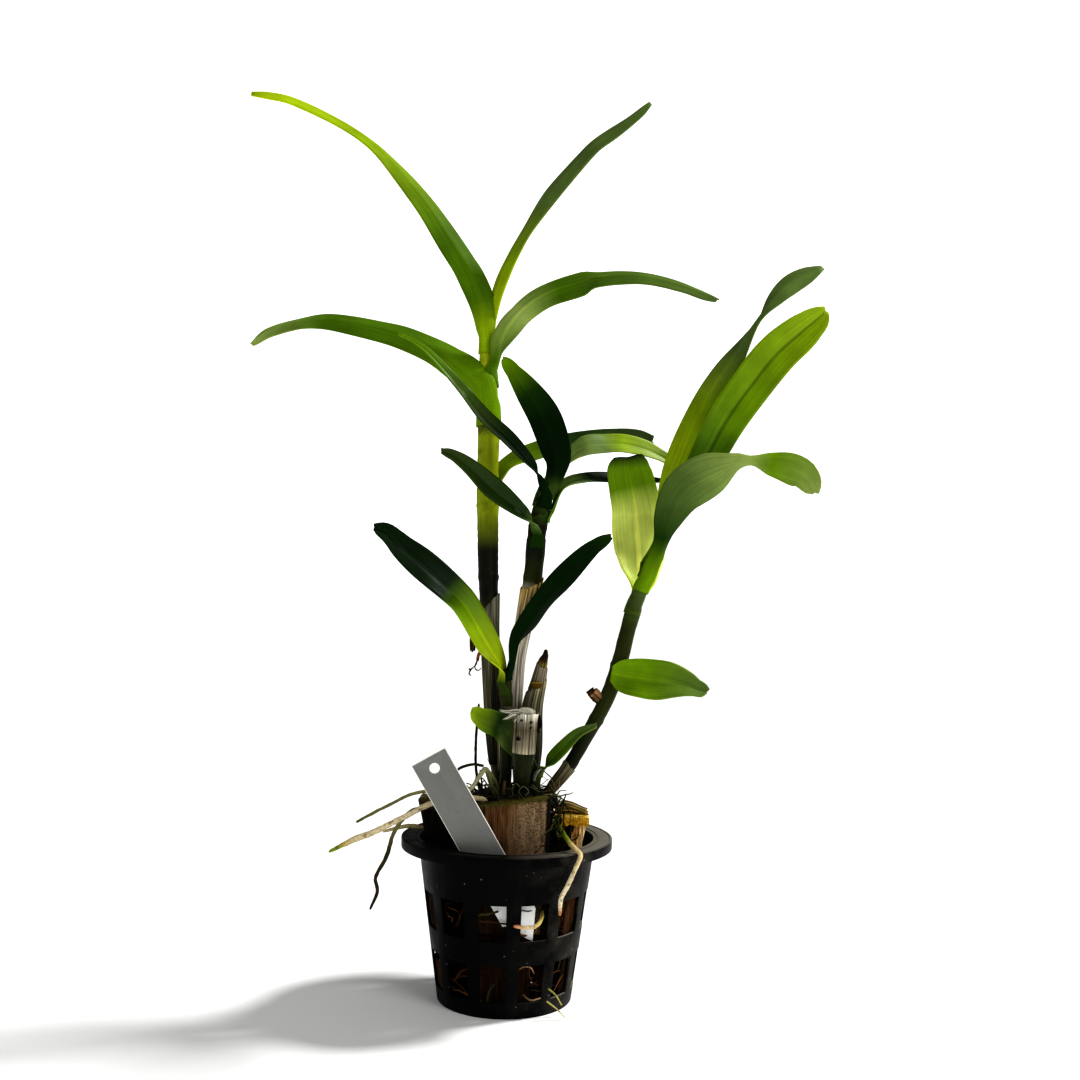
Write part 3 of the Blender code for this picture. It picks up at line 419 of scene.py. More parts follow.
bladeAcross = 14
bladeRows = 56
bladeThick = 0.65
sheathWrap = 100.0      # most degrees either side of the sheath's middle
baseCurl = 62.0         # degrees from the midrib to the edge at the foot of the blade
bladeCurl = 17.0
baseTurn = 0.2          # share of the blade over which it turns away from its cane
baseOpen = 0.3          # share over which its channel opens
tall, middle, right = (canes[n]["axis"] for n in ("cane_tall", "cane_middle", "cane_right"))
short, shoot = (canes[n]["axis"] for n in ("cane_short", "cane_shoot"))
leaves = {
    # cane, side in degrees from +X, sheath heights, face to the front (1 upper, -1 under),
    # points (x, y, z, width, facing) from the foot to the tip, tones, midrib strength
    # tones hold painted light: night stops are painted shade and shadows of other leaves, and the
    # lime and cream stops are partly painted sunlight
    "leaf_tall_1": (tall, 40, (258, 267), 1, [
        (-3, 14.5, 278.5, 15, 45), (13, 20, 287.5, 16, 46), (30, 27, 294, 16, 56),
        (58, 37, 298, 13, 50), (69, 40, 298, 12, 48), (76.5, 42, 296.8, 7, 46)],
        [(0, "spring"), (0.35, "leaf"), (0.5, "deep"), (1, "olive")], 0.2),
    "leaf_tall_2": (tall, 248, (299, 310), -1, [
        (-19, 2.5, 321, 18, -14), (-26, 3.5, 328, 20, -22), (-34, 5.5, 334.5, 20, -32),
        (-44, 8, 340.5, 20, -40), (-62, 12, 348, 19.5, -42), (-76, 15, 352, 19, -46),
        (-91, 17, 355, 18, -48), (-106, 19, 356.5, 15, -46), (-119, 20, 355, 12, -50),
        (-136, 22, 350, 8, -42), (-145, 24, 343.5, 3, -40)],
        [(0, "fresh"), (0.35, "leaf"), (0.7, "leaf"), (1, "pale")], 0.1),
    "leaf_tall_3": (tall, -22, (320, 329), -1, [
        (-8, 3.4, 343, 11, 40), (-3.4, 2.4, 352.5, 13, 26), (5, 1, 361.5, 15, 28),
        (16, 0, 368.5, 16.5, 32), (33, -2, 374, 17, 30), (41, -4, 376, 16, 46),
        (63, -8, 376.5, 14, 50), (84, -12, 371, 11, 50), (103, -16, 363, 3, 46)],
        [(0, "leaf"), (0.2, "pale"), (0.38, "leaf"), (1, "sage")], 0.45),
    "leaf_tall_4": (tall, 262, (338, 347), -1, [
        (-17.6, 6.4, 358, 15, -6), (-19.6, 7.4, 367, 15.5, -14), (-22.8, 8.6, 375.5, 16, -22),
        (-27, 10, 384.5, 16.5, -30), (-36.5, 12, 399, 17.5, -38), (-50, 14, 419, 17, -46),
        (-68, 16, 440.5, 14.5, -56), (-80, 17, 452, 13, -58), (-101, 19, 465.5, 13, -58),
        (-124, 20, 476, 12.5, -58), (-138, 21, 479, 10, -56), (-147, 22, 479.3, 3.5, -56)],
        [(0, "spring"), (0.08, "leaf"), (0.3, "leaf"), (0.65, "spring"), (1, "lime")], 0.12),
    "leaf_tall_5": (tall, -10, None, -1, [
        (-15.4, 9.6, 348, 6, 30), (-14.2, 10, 358, 8, 40), (-12.4, 10.4, 368, 10, 48),
        (-9.2, 11.4, 379, 12, 50), (-4, 12.6, 391, 12.5, 54), (3, 15, 405, 14, 58),
        (18, 18, 429, 14, 48), (37, 21, 452, 13, 48), (49, 23, 462, 11, 40), (61, 25, 472, 8, 44),
        (70, 26, 480, 3, 44)],
        [(0, "lime"), (0.25, "spring"), (0.5, "sage"), (1, "sage")], 0.1),
    "leaf_middle_1": (middle, -85, (235, 238), 1, [
        (10, -7.5, 247.8, 6, -40), (1.6, -9.5, 254.9, 11, -40), (-5, -11.5, 259.8, 14, -40),
        (-11.5, -12.5, 264.9, 14.8, -40), (-21.9, -15, 274.5, 10.5, -38),
        (-30, -16.5, 280, 7, -38), (-37, -18, 282.5, 3, -40)],
        [(0, "deep"), (0.08, "sage"), (0.2, "deep"), (1, "olive")], 0.1),
    "leaf_middle_2": (middle, 5, (249, 251.5), 1, [
        (25, 3.5, 266, 6, 45), (29, 7, 270, 8.5, 50), (36, 12, 272.5, 9, 50),
        (46, 20, 274, 9, 48), (62, 28, 274, 9, 50), (80, 32, 274, 4, 50)],
        [(0, "leaf"), (0.3, "sage"), (0.45, "night"), (1, "night")], 0.1),
    "leaf_middle_3": (middle, -75, (256, 259), 1, [
        (14.5, -8, 270, 7, -46), (8.9, -9, 277.4, 8, -46), (-2.7, -10, 290.2, 11, -45),
        (-15.3, -12, 301.3, 10.5, -45), (-27.4, -14, 315.3, 7, -46),
        (-43.6, -15.5, 332.4, 4.6, -46), (-52, -16, 338.5, 3.6, -50), (-60, -17, 342, 2, -55)],
        [(0, "night"), (0.3, "night"), (0.5, "olive"), (0.75, "leaf"), (1, "fresh")], 0.1),
    "leaf_middle_4": (middle, 105, (256, 258.5), 1, [
        (24, 11, 277, 9, 60), (32, 13, 285.5, 13, 48), (39, 14, 290, 14, 32),
        (50, 20, 292, 14, 36), (61, 25, 292.5, 13, 32), (74, 30, 290, 11, 34),
        (88, 35, 284, 3, 30)],
        [(0, "leaf"), (0.2, "pale"), (0.5, "sage"), (0.65, "spring"), (1, "pale")], 0.05),
    "leaf_middle_5": (middle, -45, (261, 263), -1, [
        (22, -4, 275, 11, 36), (22, -4, 282, 16, 30), (19.5, -3.5, 292, 17.5, 20),
        (14.5, -4, 304, 17.5, 18), (6.5, -5, 315.5, 15, 26), (-1.5, -6, 326, 9, 30),
        (-7, -7, 332.5, 2, 30)],
        [(0, "olive"), (0.1, "night"), (0.5, "night"), (0.7, "deep"), (1, "fresh")], 0.25),
    "leaf_right_1": (right, -90, None, 1, [
        (52.5, -7.2, 170.5, 8, 0), (56, -7.5, 169.9, 14.5, 6), (60.5, -9.2, 169, 18.5, 18),
        (66, -11.5, 168.3, 21.5, 27), (73, -13, 167.5, 22.5, 27), (81, -15, 167, 21.5, 28),
        (90, -18, 165.5, 16.5, 38), (97, -20, 163.5, 9, 40), (101, -21, 163, 3, 40)],
        [(0, "fresh"), (0.4, "fresh"), (1, "sage")], 0.4),
    "leaf_right_2": (right, 95, (201, 204), 1, [
        (67, 9, 212, 9, -14), (68, 13, 218, 17, -14), (68, 17, 226, 24, -12),
        (68, 20, 234, 28, -10), (67, 22, 246, 29, -8), (66, 23, 258, 28, -10),
        (63.5, 21, 270, 26, -4), (61.5, 18.5, 278, 24, 0), (61, 17.5, 283, 20.5, 0),
        (60.8, 17, 286, 15, 0)],
        [(0, "leaf"), (0.08, "lime"), (0.25, "cream"), (0.62, "cream"), (0.8, "fresh"),
         (0.92, "fresh"), (1, "night")], 0.6),
    "leaf_right_3": (right, -65, (213, 217), -1, [
        (78, -10, 238, 12, -45), (81, -11, 250, 19, -34), (88, -15, 264.5, 24, -18),
        (101, -18, 273, 25, -28), (113.5, -22.5, 278.6, 18, -66),
        (120.5, -24.5, 278.8, 14, -76), (129.3, -26.5, 277.4, 15, -46), (139, -29, 275.4, 17, -30),
        (145.9, -31, 271.8, 14, -22), (150.6, -33, 263.4, 3, -18)],
        [(0, "fresh"), (0.18, "deep"), (0.45, "sage"), (0.68, "pale"), (0.78, "fresh"),
         (1, "pale")], 0.15),
    "leaf_right_4": (right, 145, (219.5, 222.5), -1, [
        (79, 13, 248, 9, 45), (83, 15.5, 268, 14, 32), (91, 19, 290, 17, 24),
        (102, 22, 316, 16, 32), (115, 26, 337, 15, 36), (126, 30, 355, 11, 66),
        (132.5, 31, 364.5, 9, 78), (141, 33, 376, 11, 45), (150, 36, 385, 13, 30),
        (160, 38.5, 391.5, 11, 28), (169, 41, 396, 3, 28)],
        [(0, "leaf"), (0.16, "lime"), (0.45, "spring"), (0.65, "sage"), (1, "sage")], 0.2),
    "leaf_right_5": (right, 0, (225, 228), 1, [
        (83, 3, 246, 9, 60), (90.5, 4, 262, 13.5, 36), (101.5, 5, 284, 18.5, 12),
        (112, 8, 304, 21, 10), (125, 11, 323, 22.5, 12), (139, 14, 341, 23, 12),
        (153, 16, 354, 20, 8), (162, 17.6, 362, 13, 8), (166.5, 18.4, 366.5, 5, 8)],
        [(0, "fresh"), (0.1, "leaf"), (0.4, "leaf"), (0.5, "fresh"), (1, "spring")], -0.5),
    "leaf_short_1": (short, 195, (158, 161), 1, [
        (-5, -9.5, 172, 11, -25), (-12, -12, 185, 14.5, -30), (-24, -14, 204.5, 17.5, -42),
        (-33, -15, 213.5, 18, -40), (-46, -18, 225, 17, -28), (-55, -19, 232.5, 14, -26),
        (-63, -21, 240, 9, -24), (-70, -22, 243, 3, -24)],
        [(0, "olive"), (0.08, "lime"), (0.25, "spring"), (0.42, "fresh"), (0.55, "night"),
         (1, "night")], 0.5),
    "leaf_short_2": (short, 10, (166, 168.5), -1, [
        (4.5, -9.5, 187, 12, -50), (10, -10.5, 196, 15, -46), (18, -12, 208, 15, -46),
        (29, -13, 221, 14, -34), (41, -14, 234, 9.5, -30), (51, -15, 241, 3, -30)],
        [(0, "night"), (0.85, "night"), (1, "deep")], 0.1),
    "leaf_shoot_1": (shoot, 145, (112, 115), 1, [
        (6.5, -7, 128, 9, 0), (1.8, -10.6, 135, 12, -8), (-4, -14, 142, 14, -28),
        (-13, -17, 146.5, 12, -28), (-19, -20, 151, 3, -30)],
        [(0, "night"), (0.2, "sage"), (0.5, "sage"), (0.65, "deep"), (1, "spring")], 0.2),
    "leaf_shoot_2": (shoot, -45, (117, 119), 1, [
        (19, -12, 121, 5, 45), (23.5, -13.5, 127, 8, 45), (28, -15, 132, 8.5, 45),
        (36, -16.5, 140.2, 6, 42), (45, -18, 144.5, 2.5, 40)],
        [(0, "leaf"), (0.35, "leaf"), (1, "sage")], 0.1),
}
tip = {"round": 0.86, "notch": 0.5, "lobe": 0.5}     # share where it rounds off, cut, longer half
foldDepth = 0.9         # how deep the midrib lies below the flat of the blade
waveDepth = 0.5


def bladeFrame(row, ahead, face):
    along = (Vector(ahead[:3]) - Vector(row[:3])).normalized()
    front = Vector((0, -1, 0))
    front = (front - along * front.dot(along)).normalized()
    flat = along.cross(front)
    turn = math.radians(row[4])
    across = flat * math.cos(turn) + front * math.sin(turn)
    return along, across, (front * math.cos(turn) - flat * math.sin(turn)) * face


def sheathFoot(axis, side, heights, width, face):
    # rows of the sheath round the cane, and the point where the blade leaves it
    heading = Vector((math.cos(math.radians(side)), math.sin(math.radians(side)), 0))
    rows = []
    for k in range(4):
        height = heights[0] + (heights[1] - heights[0]) * k / 3
        centre, along, radius = axisAt(axis, height)
        outward = (heading - along * heading.dot(along)).normalized()
        reach = radius * (1 + ringSwell) + 0.35
        wrap = min(math.radians(sheathWrap), 1.25 * width / 2 / reach)
        rows.append((centre + outward * reach, along, along.cross(outward) * -face, -outward,
                     reach, wrap))
    start = rows[-1][0] + rows[-1][1] * 4 + outward * 1.3
    return rows, start


def leafBlade(name, axis, side, heights, face, points, tones, midrib, seed):
    rows, base = [], list(points)
    if heights:
        rows, start = sheathFoot(axis, side, heights, points[0][3], face)
        base.insert(0, (*start, min(points[0][3], 2 * rows[-1][4] * rows[-1][5]), points[0][4]))
    blade = smoothRows(base, bladeRows)
    for i, row in enumerate(blade):
        ahead, here = (blade[i + 1], row) if i + 1 < bladeRows else (row, blade[i - 1])
        along, across, upper = bladeFrame([*here[:3], *row[3:]], ahead, face)
        share = i / (bladeRows - 1)
        curl = math.radians(bladeCurl)
        width = row[3]
        if heights:
            hold = max(0, 1 - share / baseTurn)
            across = across.lerp(rows[3][2], hold).normalized()
            upper = upper.lerp(rows[3][3], hold).normalized()
            curl += math.radians(baseCurl - bladeCurl) * max(0, 1 - share / baseOpen) ** 1.5
            curl = max(curl, hold * rows[3][5] * 0.8)
        if share > tip["round"]:
            past = (share - tip["round"]) / (1 - tip["round"])
            wide = blade[round(tip["round"] * (bladeRows - 1))][3]
            width = max(width, wide * math.sqrt(max(0.02, 1 - past ** 2.6)) * 0.86)
        rows.append((Vector(row[:3]), along, across, upper, width / 2 / curl, curl))

    shape = newShape()
    tone = shape.verts.layers.float_color["tone"]
    margin = shape.verts.layers.float.new("margin")
    rib = shape.verts.layers.float.new("midrib")
    bmesh.ops.create_grid(shape, x_segments=bladeAcross, y_segments=len(rows) - 1, size=1,
                          calc_uvs=True)
    length = sum(math.dist(a[:3], b[:3]) for a, b in zip(blade, blade[1:]))
    widest = max(row[3] for row in blade)
    scaleUv(shape, shape.faces, widest, length, -0.5 * widest * uvUnit)
    first = len(rows) - bladeRows
    for vert in shape.verts:
        u = vert.co.x
        i = round((vert.co.y + 1) / 2 * (len(rows) - 1))
        centre, along, across, upper, radius, curl = rows[i]
        share = max(0, i - first) / (bladeRows - 1)
        angle = u * curl
        open_ = min(1, share / 0.12)
        place = centre + across * radius * math.sin(angle)
        place += upper * radius * (1 - math.cos(angle))
        place += upper * foldDepth * open_ * (1 - math.exp(-abs(u) * 4)) * min(1, widest / 16) \
            - upper * foldDepth * 0.5 * open_
        wave = noise.noise(Vector((share * length * 0.035, u * 0.7, seed * 7.1)))
        place += upper * waveDepth * wave * u * u * open_ * 2 * min(1, widest / 16)
        if share > 0.9:
            deep = ((share - 0.9) / 0.1) ** 2
            place -= along * tip["notch"] * deep * math.exp(-(u * 2.6) ** 2) * widest / 20
            place += along * tip["lobe"] * deep * (u if seed % 2 else -u) * widest / 20
        vert.co = place
        shadeSide = 1 + 0.06 * math.sin(u * 2.2 + seed)
        vert[tone] = (*[c * shadeSide for c in toneAt(tones, share)], 1)
        vert[margin] = abs(u)
        vert[rib] = max(0, midrib) * max(0, 1 - abs(u) * 9) * (1 - share ** 3)
        if midrib < 0:
            dark = 1 + midrib * max(0, 1 - abs(u) * 8)
            vert[tone] = (*[c * dark for c in vert[tone][:3]], 1)
    bmesh.ops.recalc_face_normals(shape, faces=shape.faces)
    centre, wanted = rows[len(rows) // 2][0], rows[len(rows) // 2][3]
    central = min(shape.faces, key=lambda f: (f.calc_center_median() - centre).length)
    if central.normal.dot(wanted) < 0:
        bmesh.ops.reverse_faces(shape, faces=shape.faces)
    piece = finishPiece("blade_" + name, shape, [leafUpper, leafUnder], [name], 80,
                        recalculate=False)
    thicken(piece, bladeThick, 0).material_offset = 1


for seed, (name, leaf) in enumerate(leaves.items()):
    leafBlade(name, *leaf, seed)

# each leaf's sheath goes on round its cane below the blade, as a collar with a slanting top
collar = {"below": 8.5, "above": 1.2, "slant": 2.8, "reach": 0.42, "sides": 24, "steps": 16}
sheathSize = (math.tau * 5, 10)     # girth and height that a sheath's UV map is laid out for


def leafCollar(shape, cane, side, heights, tones):
    tone = shape.verts.layers.float_color["tone"]
    axis = canes[cane]["axis"]
    foot, head = axis[0][2], axis[-1][2]
    made = bmesh.ops.create_grid(shape, x_segments=collar["sides"], y_segments=collar["steps"],
                                 size=1, calc_uvs=True)
    verts = made["verts"]
    faces = {face for vert in verts for face in vert.link_faces}
    scaleUv(shape, faces, *sheathSize)
    low = heights[0] - collar["below"]
    for vert in verts:
        turn, share = (vert.co.x + 1) * math.pi, (vert.co.y + 1) / 2
        near = math.cos(turn - math.radians(side))
        high = heights[1] + collar["above"] + collar["slant"] * near
        height = min(low + (high - low) * min(1, share / 0.94), head)
        centre, along, radius = axisAt(axis, height)
        out = Vector((math.cos(turn), math.sin(turn), 0))
        out = (out - along * out.dot(along)).normalized()
        reach = collar["reach"] * math.sin(min(1, share / 0.5) * math.pi / 2) - 0.15
        if share > 0.94:
            reach = -0.4
        vert.co = centre + out * (radius + reach)
        mixShare = 0.45 * min(1, max(0, share * 1.5 - 0.5))
        below = toneAt(canes[cane]["tones"], (height - foot) / (head - foot))
        vert[tone] = (*blend(below, linear(tones[0][1]), mixShare), 1)
    bmesh.ops.remove_doubles(shape, verts=verts, dist=1e-4)
    fillHoles(shape, faces)


for cane in ("cane_tall", "cane_middle", "cane_right", "cane_short", "cane_shoot"):
    shape = newShape()
    for leaf in leaves.values():
        if leaf[0] is canes[cane]["axis"] and leaf[2]:
            leafCollar(shape, cane, leaf[1], leaf[2], leaf[5])
    finishPiece("collars_" + cane[5:], shape, [caneSkin], (), 60)
print("leaves done")


# ---- roots

roots = {
    # points (x, y, z, radius) from where they leave the crown or the husk, and tones
    "root_left_long": ([(-10, -15, 104.5, 1.3), (-15, -22, 107, 1.4), (-26, -25, 107, 1.5),
                        (-37, -26, 105, 1.5), (-53, -28, 97, 1.4), (-67, -29, 90, 1.5),
                        (-75, -30, 87, 1.6), (-87, -31, 81, 0.8)],
                       [(0, "d8c49a"), (0.5, "e0d2b0"), (0.85, "d8c8a0"), (0.9, "c8b070"),
                        (0.94, "94a43c"), (1, "8aa838")]),
    "root_left_fork": ([(-17, -9, 104, 0.9), (-30, -12, 107.5, 0.9), (-42, -10, 108, 0.9),
                        (-51, -12, 106, 0.8), (-59, -14, 102, 0.8), (-67, -15, 98, 0.8),
                        (-76, -16, 93, 0.7)],
                       [(0, "7c7448"), (0.5, "9a9468"), (0.9, "7c7c48"), (1, "5c6430")]),
    "root_left_hanging": ([(-40.3, -14.2, 101.5, 0.9), (-49, -20, 99, 1.0), (-55, -23, 92, 1.0),
                           (-57, -24, 88, 1.0), (-60, -25, 77, 1.0), (-65, -26, 67, 0.9),
                           (-64, -26, 60, 0.9), (-67, -27, 52, 0.6)],
                          [(0, "4c4a30"), (0.3, "8a8458"), (0.5, "3c3a20"), (1, "2c2a14")]),
    "root_left_short": ([(-41.1, -6, 88.3, 1.1), (-51, -8, 89.5, 1.1), (-63, -10, 87, 0.7)],
                        [(0, "b8a878"), (1, "c8bc90")]),
    "root_arch": ([(-6, -12, 105, 1.2), (-9, -17, 116, 1.2), (-11, -19.5, 121.5, 1.3),
                   (-14, -20.5, 118, 1.2), (-18, -22, 112, 1.1), (-22, -24, 109.6, 1.0)],
                  [(0, "4c4a2c"), (0.4, "7a7a54"), (0.6, "b0ae8c"), (1, "c4c09c")]),
    "root_dark": ([(-12.1, -19.6, 123, 0.7), (-17, -20.5, 124, 0.7), (-24, -22, 122, 0.7),
                   (-27, -23, 118, 0.6)],
                  [(0, "34321c"), (1, "242414")]),
    "root_upright": ([(-14, 0, 103.5, 0.8), (-17, 3, 118, 0.7), (-17.5, 6, 133, 0.7),
                      (-16.5, 8, 151, 0.6)],
                     [(0, "1c1a12"), (1, "242018")]),
    "root_right_hanging": ([(24.8, -25, 99, 1.1), (28, -30, 93, 1.2), (32.4, -37.5, 88, 1.2),
                            (35.3, -41.2, 86, 1.2), (37.1, -43.8, 83.8, 1.2),
                            (34.6, -46.5, 78, 1.2), (31.1, -46.5, 70, 1.2), (27.8, -46, 63, 1.1),
                            (27.5, -46, 56, 0.8)],
                           [(0, "20220c"), (0.26, "70801c"), (0.34, "d0b880"), (0.9, "eee4c8"),
                            (1, "c07a3c")]),
    "root_window": ([(19, -32.7, 53, 1.0), (18.5, -40.5, 51.5, 1.0), (16, -45, 49.5, 1.0),
                     (12, -46.4, 49, 1.0), (6, -46.2, 49.5, 0.8)],
                    [(0, "8a7a3c"), (0.4, "c8b86c"), (0.7, "dcc8a0"), (0.9, "e0b088"),
                     (1, "c87a4c")]),
}
rootSides = 12
rootLumps = 0.22
for seed, (name, (points, tones)) in enumerate(roots.items()):
    length = sum(math.dist(a[:3], b[:3]) for a, b in zip(points, points[1:]))
    rows = smoothRows(points, round(length / 0.9))
    last = rows[-1]
    rows.append((*(Vector(last[:3]) * 2 - Vector(rows[-2][:3])), last[3] * 0.6))
    shape = newShape()
    addTube(shape, rows, rootSides, tones, rootLumps, seed)
    finishPiece("skin_" + name, shape, [velamen], [name])
print("roots done")


# ---- net pot

netPot = {"rim": 54.99, "opening": 46.4, "base": 35.0, "height": 84.0, "wall": 1.4, "lip": 5.0,
          "firstWindow": -108.0, "windowRows": ((8.0, 27.0), (39.5, 58.0)), "shoulder": 79.0,
          "slots": (17.0, 28.0), "disc": 12.0, "sides": 144, "edge": 0.3,
          "beads": ((47.7, 84.0, 0.45), (54.0, 84.0, 0.45), (54.5, 79.4, 0.4))}


def wallRadius(height):
    # outside of the pot's wall, as far as the windows reach
    return netPot["base"] + (netPot["opening"] - netPot["base"]) * height / netPot["height"]


def blackPlastic():
    # moulded polypropylene: deep black, a satin skin, light dust on top and in the grain, and a
    # painted sunlit grey on its right side
    material, tree, shader = newMaterial("mouldedPolypropylene", 0.42, 1.49,
                                        **{"Specular IOR Level": 0.08})
    place = addNode(tree, "TexCoord")
    grain = addNode(tree, "TexNoise", {"Vector": place.outputs["Object"], "Scale": 1400.0,
                                       "Detail": 3.0})
    dust = addNode(tree, "TexNoise", {"Vector": place.outputs["Object"], "Scale": 55.0,
                                      "Detail": 6.0, "Roughness": 0.65})
    specks = addNode(tree, "TexVoronoi", {"Vector": place.outputs["Object"], "Scale": 210.0})
    normal = addNode(tree, "NewGeometry")
    up = addNode(tree, "SeparateXYZ", {0: normal.outputs["Normal"]})
    top = addNode(tree, "MapRange", {"Value": up.outputs["Z"], "From Min": 0.3, "From Max": 0.95,
                                     "To Min": 0.0, "To Max": 0.3})
    film = addNode(tree, "MapRange", {"Value": dust.outputs["Fac"], "From Min": 0.42,
                                      "From Max": 0.75, "To Min": 0.0, "To Max": 0.12})
    # the right side is lightened far more than the left: painted sunlight where the key light
    # falls, over the dust
    spot = addNode(tree, "SeparateXYZ", {0: place.outputs["Object"]})
    litSide = addNode(tree, "MapRange", {"Value": spot.outputs["X"], "From Min": 0.0,
                                      "From Max": 0.044, "To Min": 0.12, "To Max": 4.0})
    settled = addNode(tree, "Math", {0: top.outputs[0], 1: film.outputs[0]}, operation="ADD")
    dustAndLight = addNode(tree, "Math", {0: settled.outputs[0], 1: litSide.outputs[0]},
                     operation="MULTIPLY", use_clamp=True)
    dustAndLightMix = addNode(tree, "Mix", {0: dustAndLight.outputs[0], 6: (*linear("030304"), 1),
                                  7: (*linear("6e6a60"), 1)}, data_type="RGBA")
    dots = addNode(tree, "MapRange", {"Value": specks.outputs["Distance"], "From Min": 0.12,
                                      "From Max": 0.05, "To Min": 0.0, "To Max": 0.5})
    sparse = addNode(tree, "MapRange", {"Value": dust.outputs["Fac"], "From Min": 0.5,
                                        "From Max": 0.6, "To Min": 0.0, "To Max": 1.0})
    rare = addNode(tree, "Math", {0: dots.outputs[0], 1: sparse.outputs[0]},
                   operation="MULTIPLY")
    dotted = addNode(tree, "Mix", {0: rare.outputs[0], 6: dustAndLightMix.outputs[2],
                                   7: (*linear("9a9890"), 1)}, data_type="RGBA")
    tree.links.new(dotted.outputs[2], shader.inputs["Base Color"])
    rough = addNode(tree, "MapRange", {"Value": dust.outputs["Fac"], "From Min": 0.3,
                                       "From Max": 0.7, "To Min": 0.34, "To Max": 0.6})
    tree.links.new(rough.outputs[0], shader.inputs["Roughness"])
    bump = addNode(tree, "Bump", {"Height": grain.outputs["Fac"], "Strength": 0.15,
                                  "Distance": 0.0002})
    tree.links.new(bump.outputs["Normal"], shader.inputs["Normal"])
    return material


def buildPot(pot):
    def wallRadius(height):
        return pot["base"] + (pot["opening"] - pot["base"]) * height / pot["height"]

    heights = [h for row in pot["windowRows"] for h in row]
    underRim = pot["height"] - pot["wall"]
    profile = [(pot["disc"], 0), (pot["slots"][0], 0), (pot["slots"][1], 0), (pot["base"], 0)]
    profile += [(wallRadius(h), h) for h in (*heights, pot["shoulder"])]
    profile += [(pot["opening"], underRim), (pot["rim"] - pot["wall"], underRim),
                (pot["rim"] - pot["wall"], pot["height"] - pot["lip"])]
    start = Matrix.Rotation(math.radians(pot["firstWindow"]), 3, "Z")
    shape = bmesh.new()
    verts = [shape.verts.new(start @ Vector((r, 0, h))) for r, h in profile]
    edges = [shape.edges.new(pair) for pair in zip(verts, verts[1:])]
    bmesh.ops.spin(shape, geom=verts + edges, cent=(0, 0, 0), axis=(0, 0, 1), dvec=(0, 0, 0),
                   angle=math.tau, steps=pot["sides"], use_merge=True)
    inner = [e for e in shape.edges
             if e.is_boundary and all(v.co.xy.length < pot["disc"] + 1 for v in e.verts)]
    bmesh.ops.contextual_create(shape, geom=inner)
    bmesh.ops.recalc_face_normals(shape, faces=shape.faces)
    perWindow = pot["sides"] // 12
    cut = []
    for face in shape.faces:
        centre = face.calc_center_median()
        turn = math.degrees(math.atan2(centre.y, centre.x)) - pot["firstWindow"]
        side = int(turn % 360 // (360 / pot["sides"]))
        inRow = any(low < centre.z < high for low, high in pot["windowRows"])
        inSlot = centre.z < 0.1 and pot["slots"][0] < centre.xy.length < pot["slots"][1]
        if side % perWindow < perWindow * 2 / 3 and (inRow or inSlot):
            cut.append(face)
    bmesh.ops.delete(shape, geom=cut, context="FACES")
    wall = next(f for f in shape.faces if heights[-1] < f.calc_center_median().z < pot["shoulder"])
    if wall.normal.dot(wall.calc_center_median()) < 0:
        bmesh.ops.reverse_faces(shape, faces=shape.faces)
    bmesh.ops.solidify(shape, geom=list(shape.faces), thickness=pot["wall"])
    bmesh.ops.recalc_face_normals(shape, faces=shape.faces)
    sharp = [e for e in shape.edges if len(e.link_faces) == 2
             and e.calc_face_angle(0) > math.radians(40)]
    bmesh.ops.bevel(shape, geom=sharp, offset=pot["edge"], segments=2, profile=0.5,
                    affect="EDGES", material=-1, clamp_overlap=True)
    for radius, height, size in pot["beads"]:
        turns = [math.tau * k / 8 for k in range(8)]
        bead = [shape.verts.new((radius + size * math.cos(turn), 0,
                                 height + size * math.sin(turn) - 0.1)) for turn in turns]
        rim = [shape.edges.new(pair) for pair in zip(bead, bead[1:] + bead[:1])]
        bmesh.ops.spin(shape, geom=bead + rim, cent=(0, 0, 0), axis=(0, 0, 1), dvec=(0, 0, 0),
                       angle=math.tau, steps=pot["sides"], use_merge=True)
    return shape


finishPiece("pot_shell", buildPot(netPot), [blackPlastic()], ["net_pot"], 35)
print("net pot done")


# ---- plant label

label = {"width": 19.0, "length": 106.0, "thick": 0.8, "point": 14.0, "tip": (14.5, -34.1, 38.7),
         "lean": 30.0, "forward": 3.5, "hole": 4.6, "holeDown": 6.5, "edge": 0.35}


def whitePlastic():
    # extruded polystyrene strip: smooth and matt, a little see-through; the white plastic is drawn
    # mid grey as painted shade
    material, tree, shader = newMaterial("extrudedPolystyrene", 0.4, 1.57)
    place = addNode(tree, "TexCoord")
    smear = addNode(tree, "TexNoise", {"Vector": place.outputs["Object"], "Scale": 90.0,
                                       "Detail": 5.0})
    dirt = addNode(tree, "TexNoise", {"Vector": place.outputs["Object"], "Scale": 900.0,
                                      "Detail": 2.0})
    mark = addNode(tree, "MapRange", {"Value": smear.outputs["Fac"], "From Min": 0.35,
                                      "From Max": 0.75, "To Min": 0.0, "To Max": 0.3})
    base = addNode(tree, "Mix", {0: mark.outputs[0], 6: (*linear("7c7c78"), 1),
                                 7: (*linear("686862"), 1)}, data_type="RGBA")
    dots = addNode(tree, "MapRange", {"Value": dirt.outputs["Fac"], "From Min": 0.68,
                                      "From Max": 0.74, "To Min": 0.0, "To Max": 0.6})
    # the lower end is drawn near white: painted light shining through the strip from behind
    spot = addNode(tree, "SeparateXYZ", {0: place.outputs["Object"]})
    backlitLowerEnd = addNode(tree, "MapRange", {"Value": spot.outputs["Z"], "From Min": 0.078,
                                        "From Max": 0.066, "To Min": 0.0, "To Max": 1.0})
    backlitWhite = addNode(tree, "Mix", {0: backlitLowerEnd.outputs[0], 6: base.outputs[2],
                                  7: (*linear("f2f2f0"), 1)}, data_type="RGBA")
    dotted = addNode(tree, "Mix", {0: dots.outputs[0], 6: backlitWhite.outputs[2],
                                   7: (*linear("3c3a34"), 1)}, data_type="RGBA")
    tree.links.new(dotted.outputs[2], shader.inputs["Base Color"])
    return material


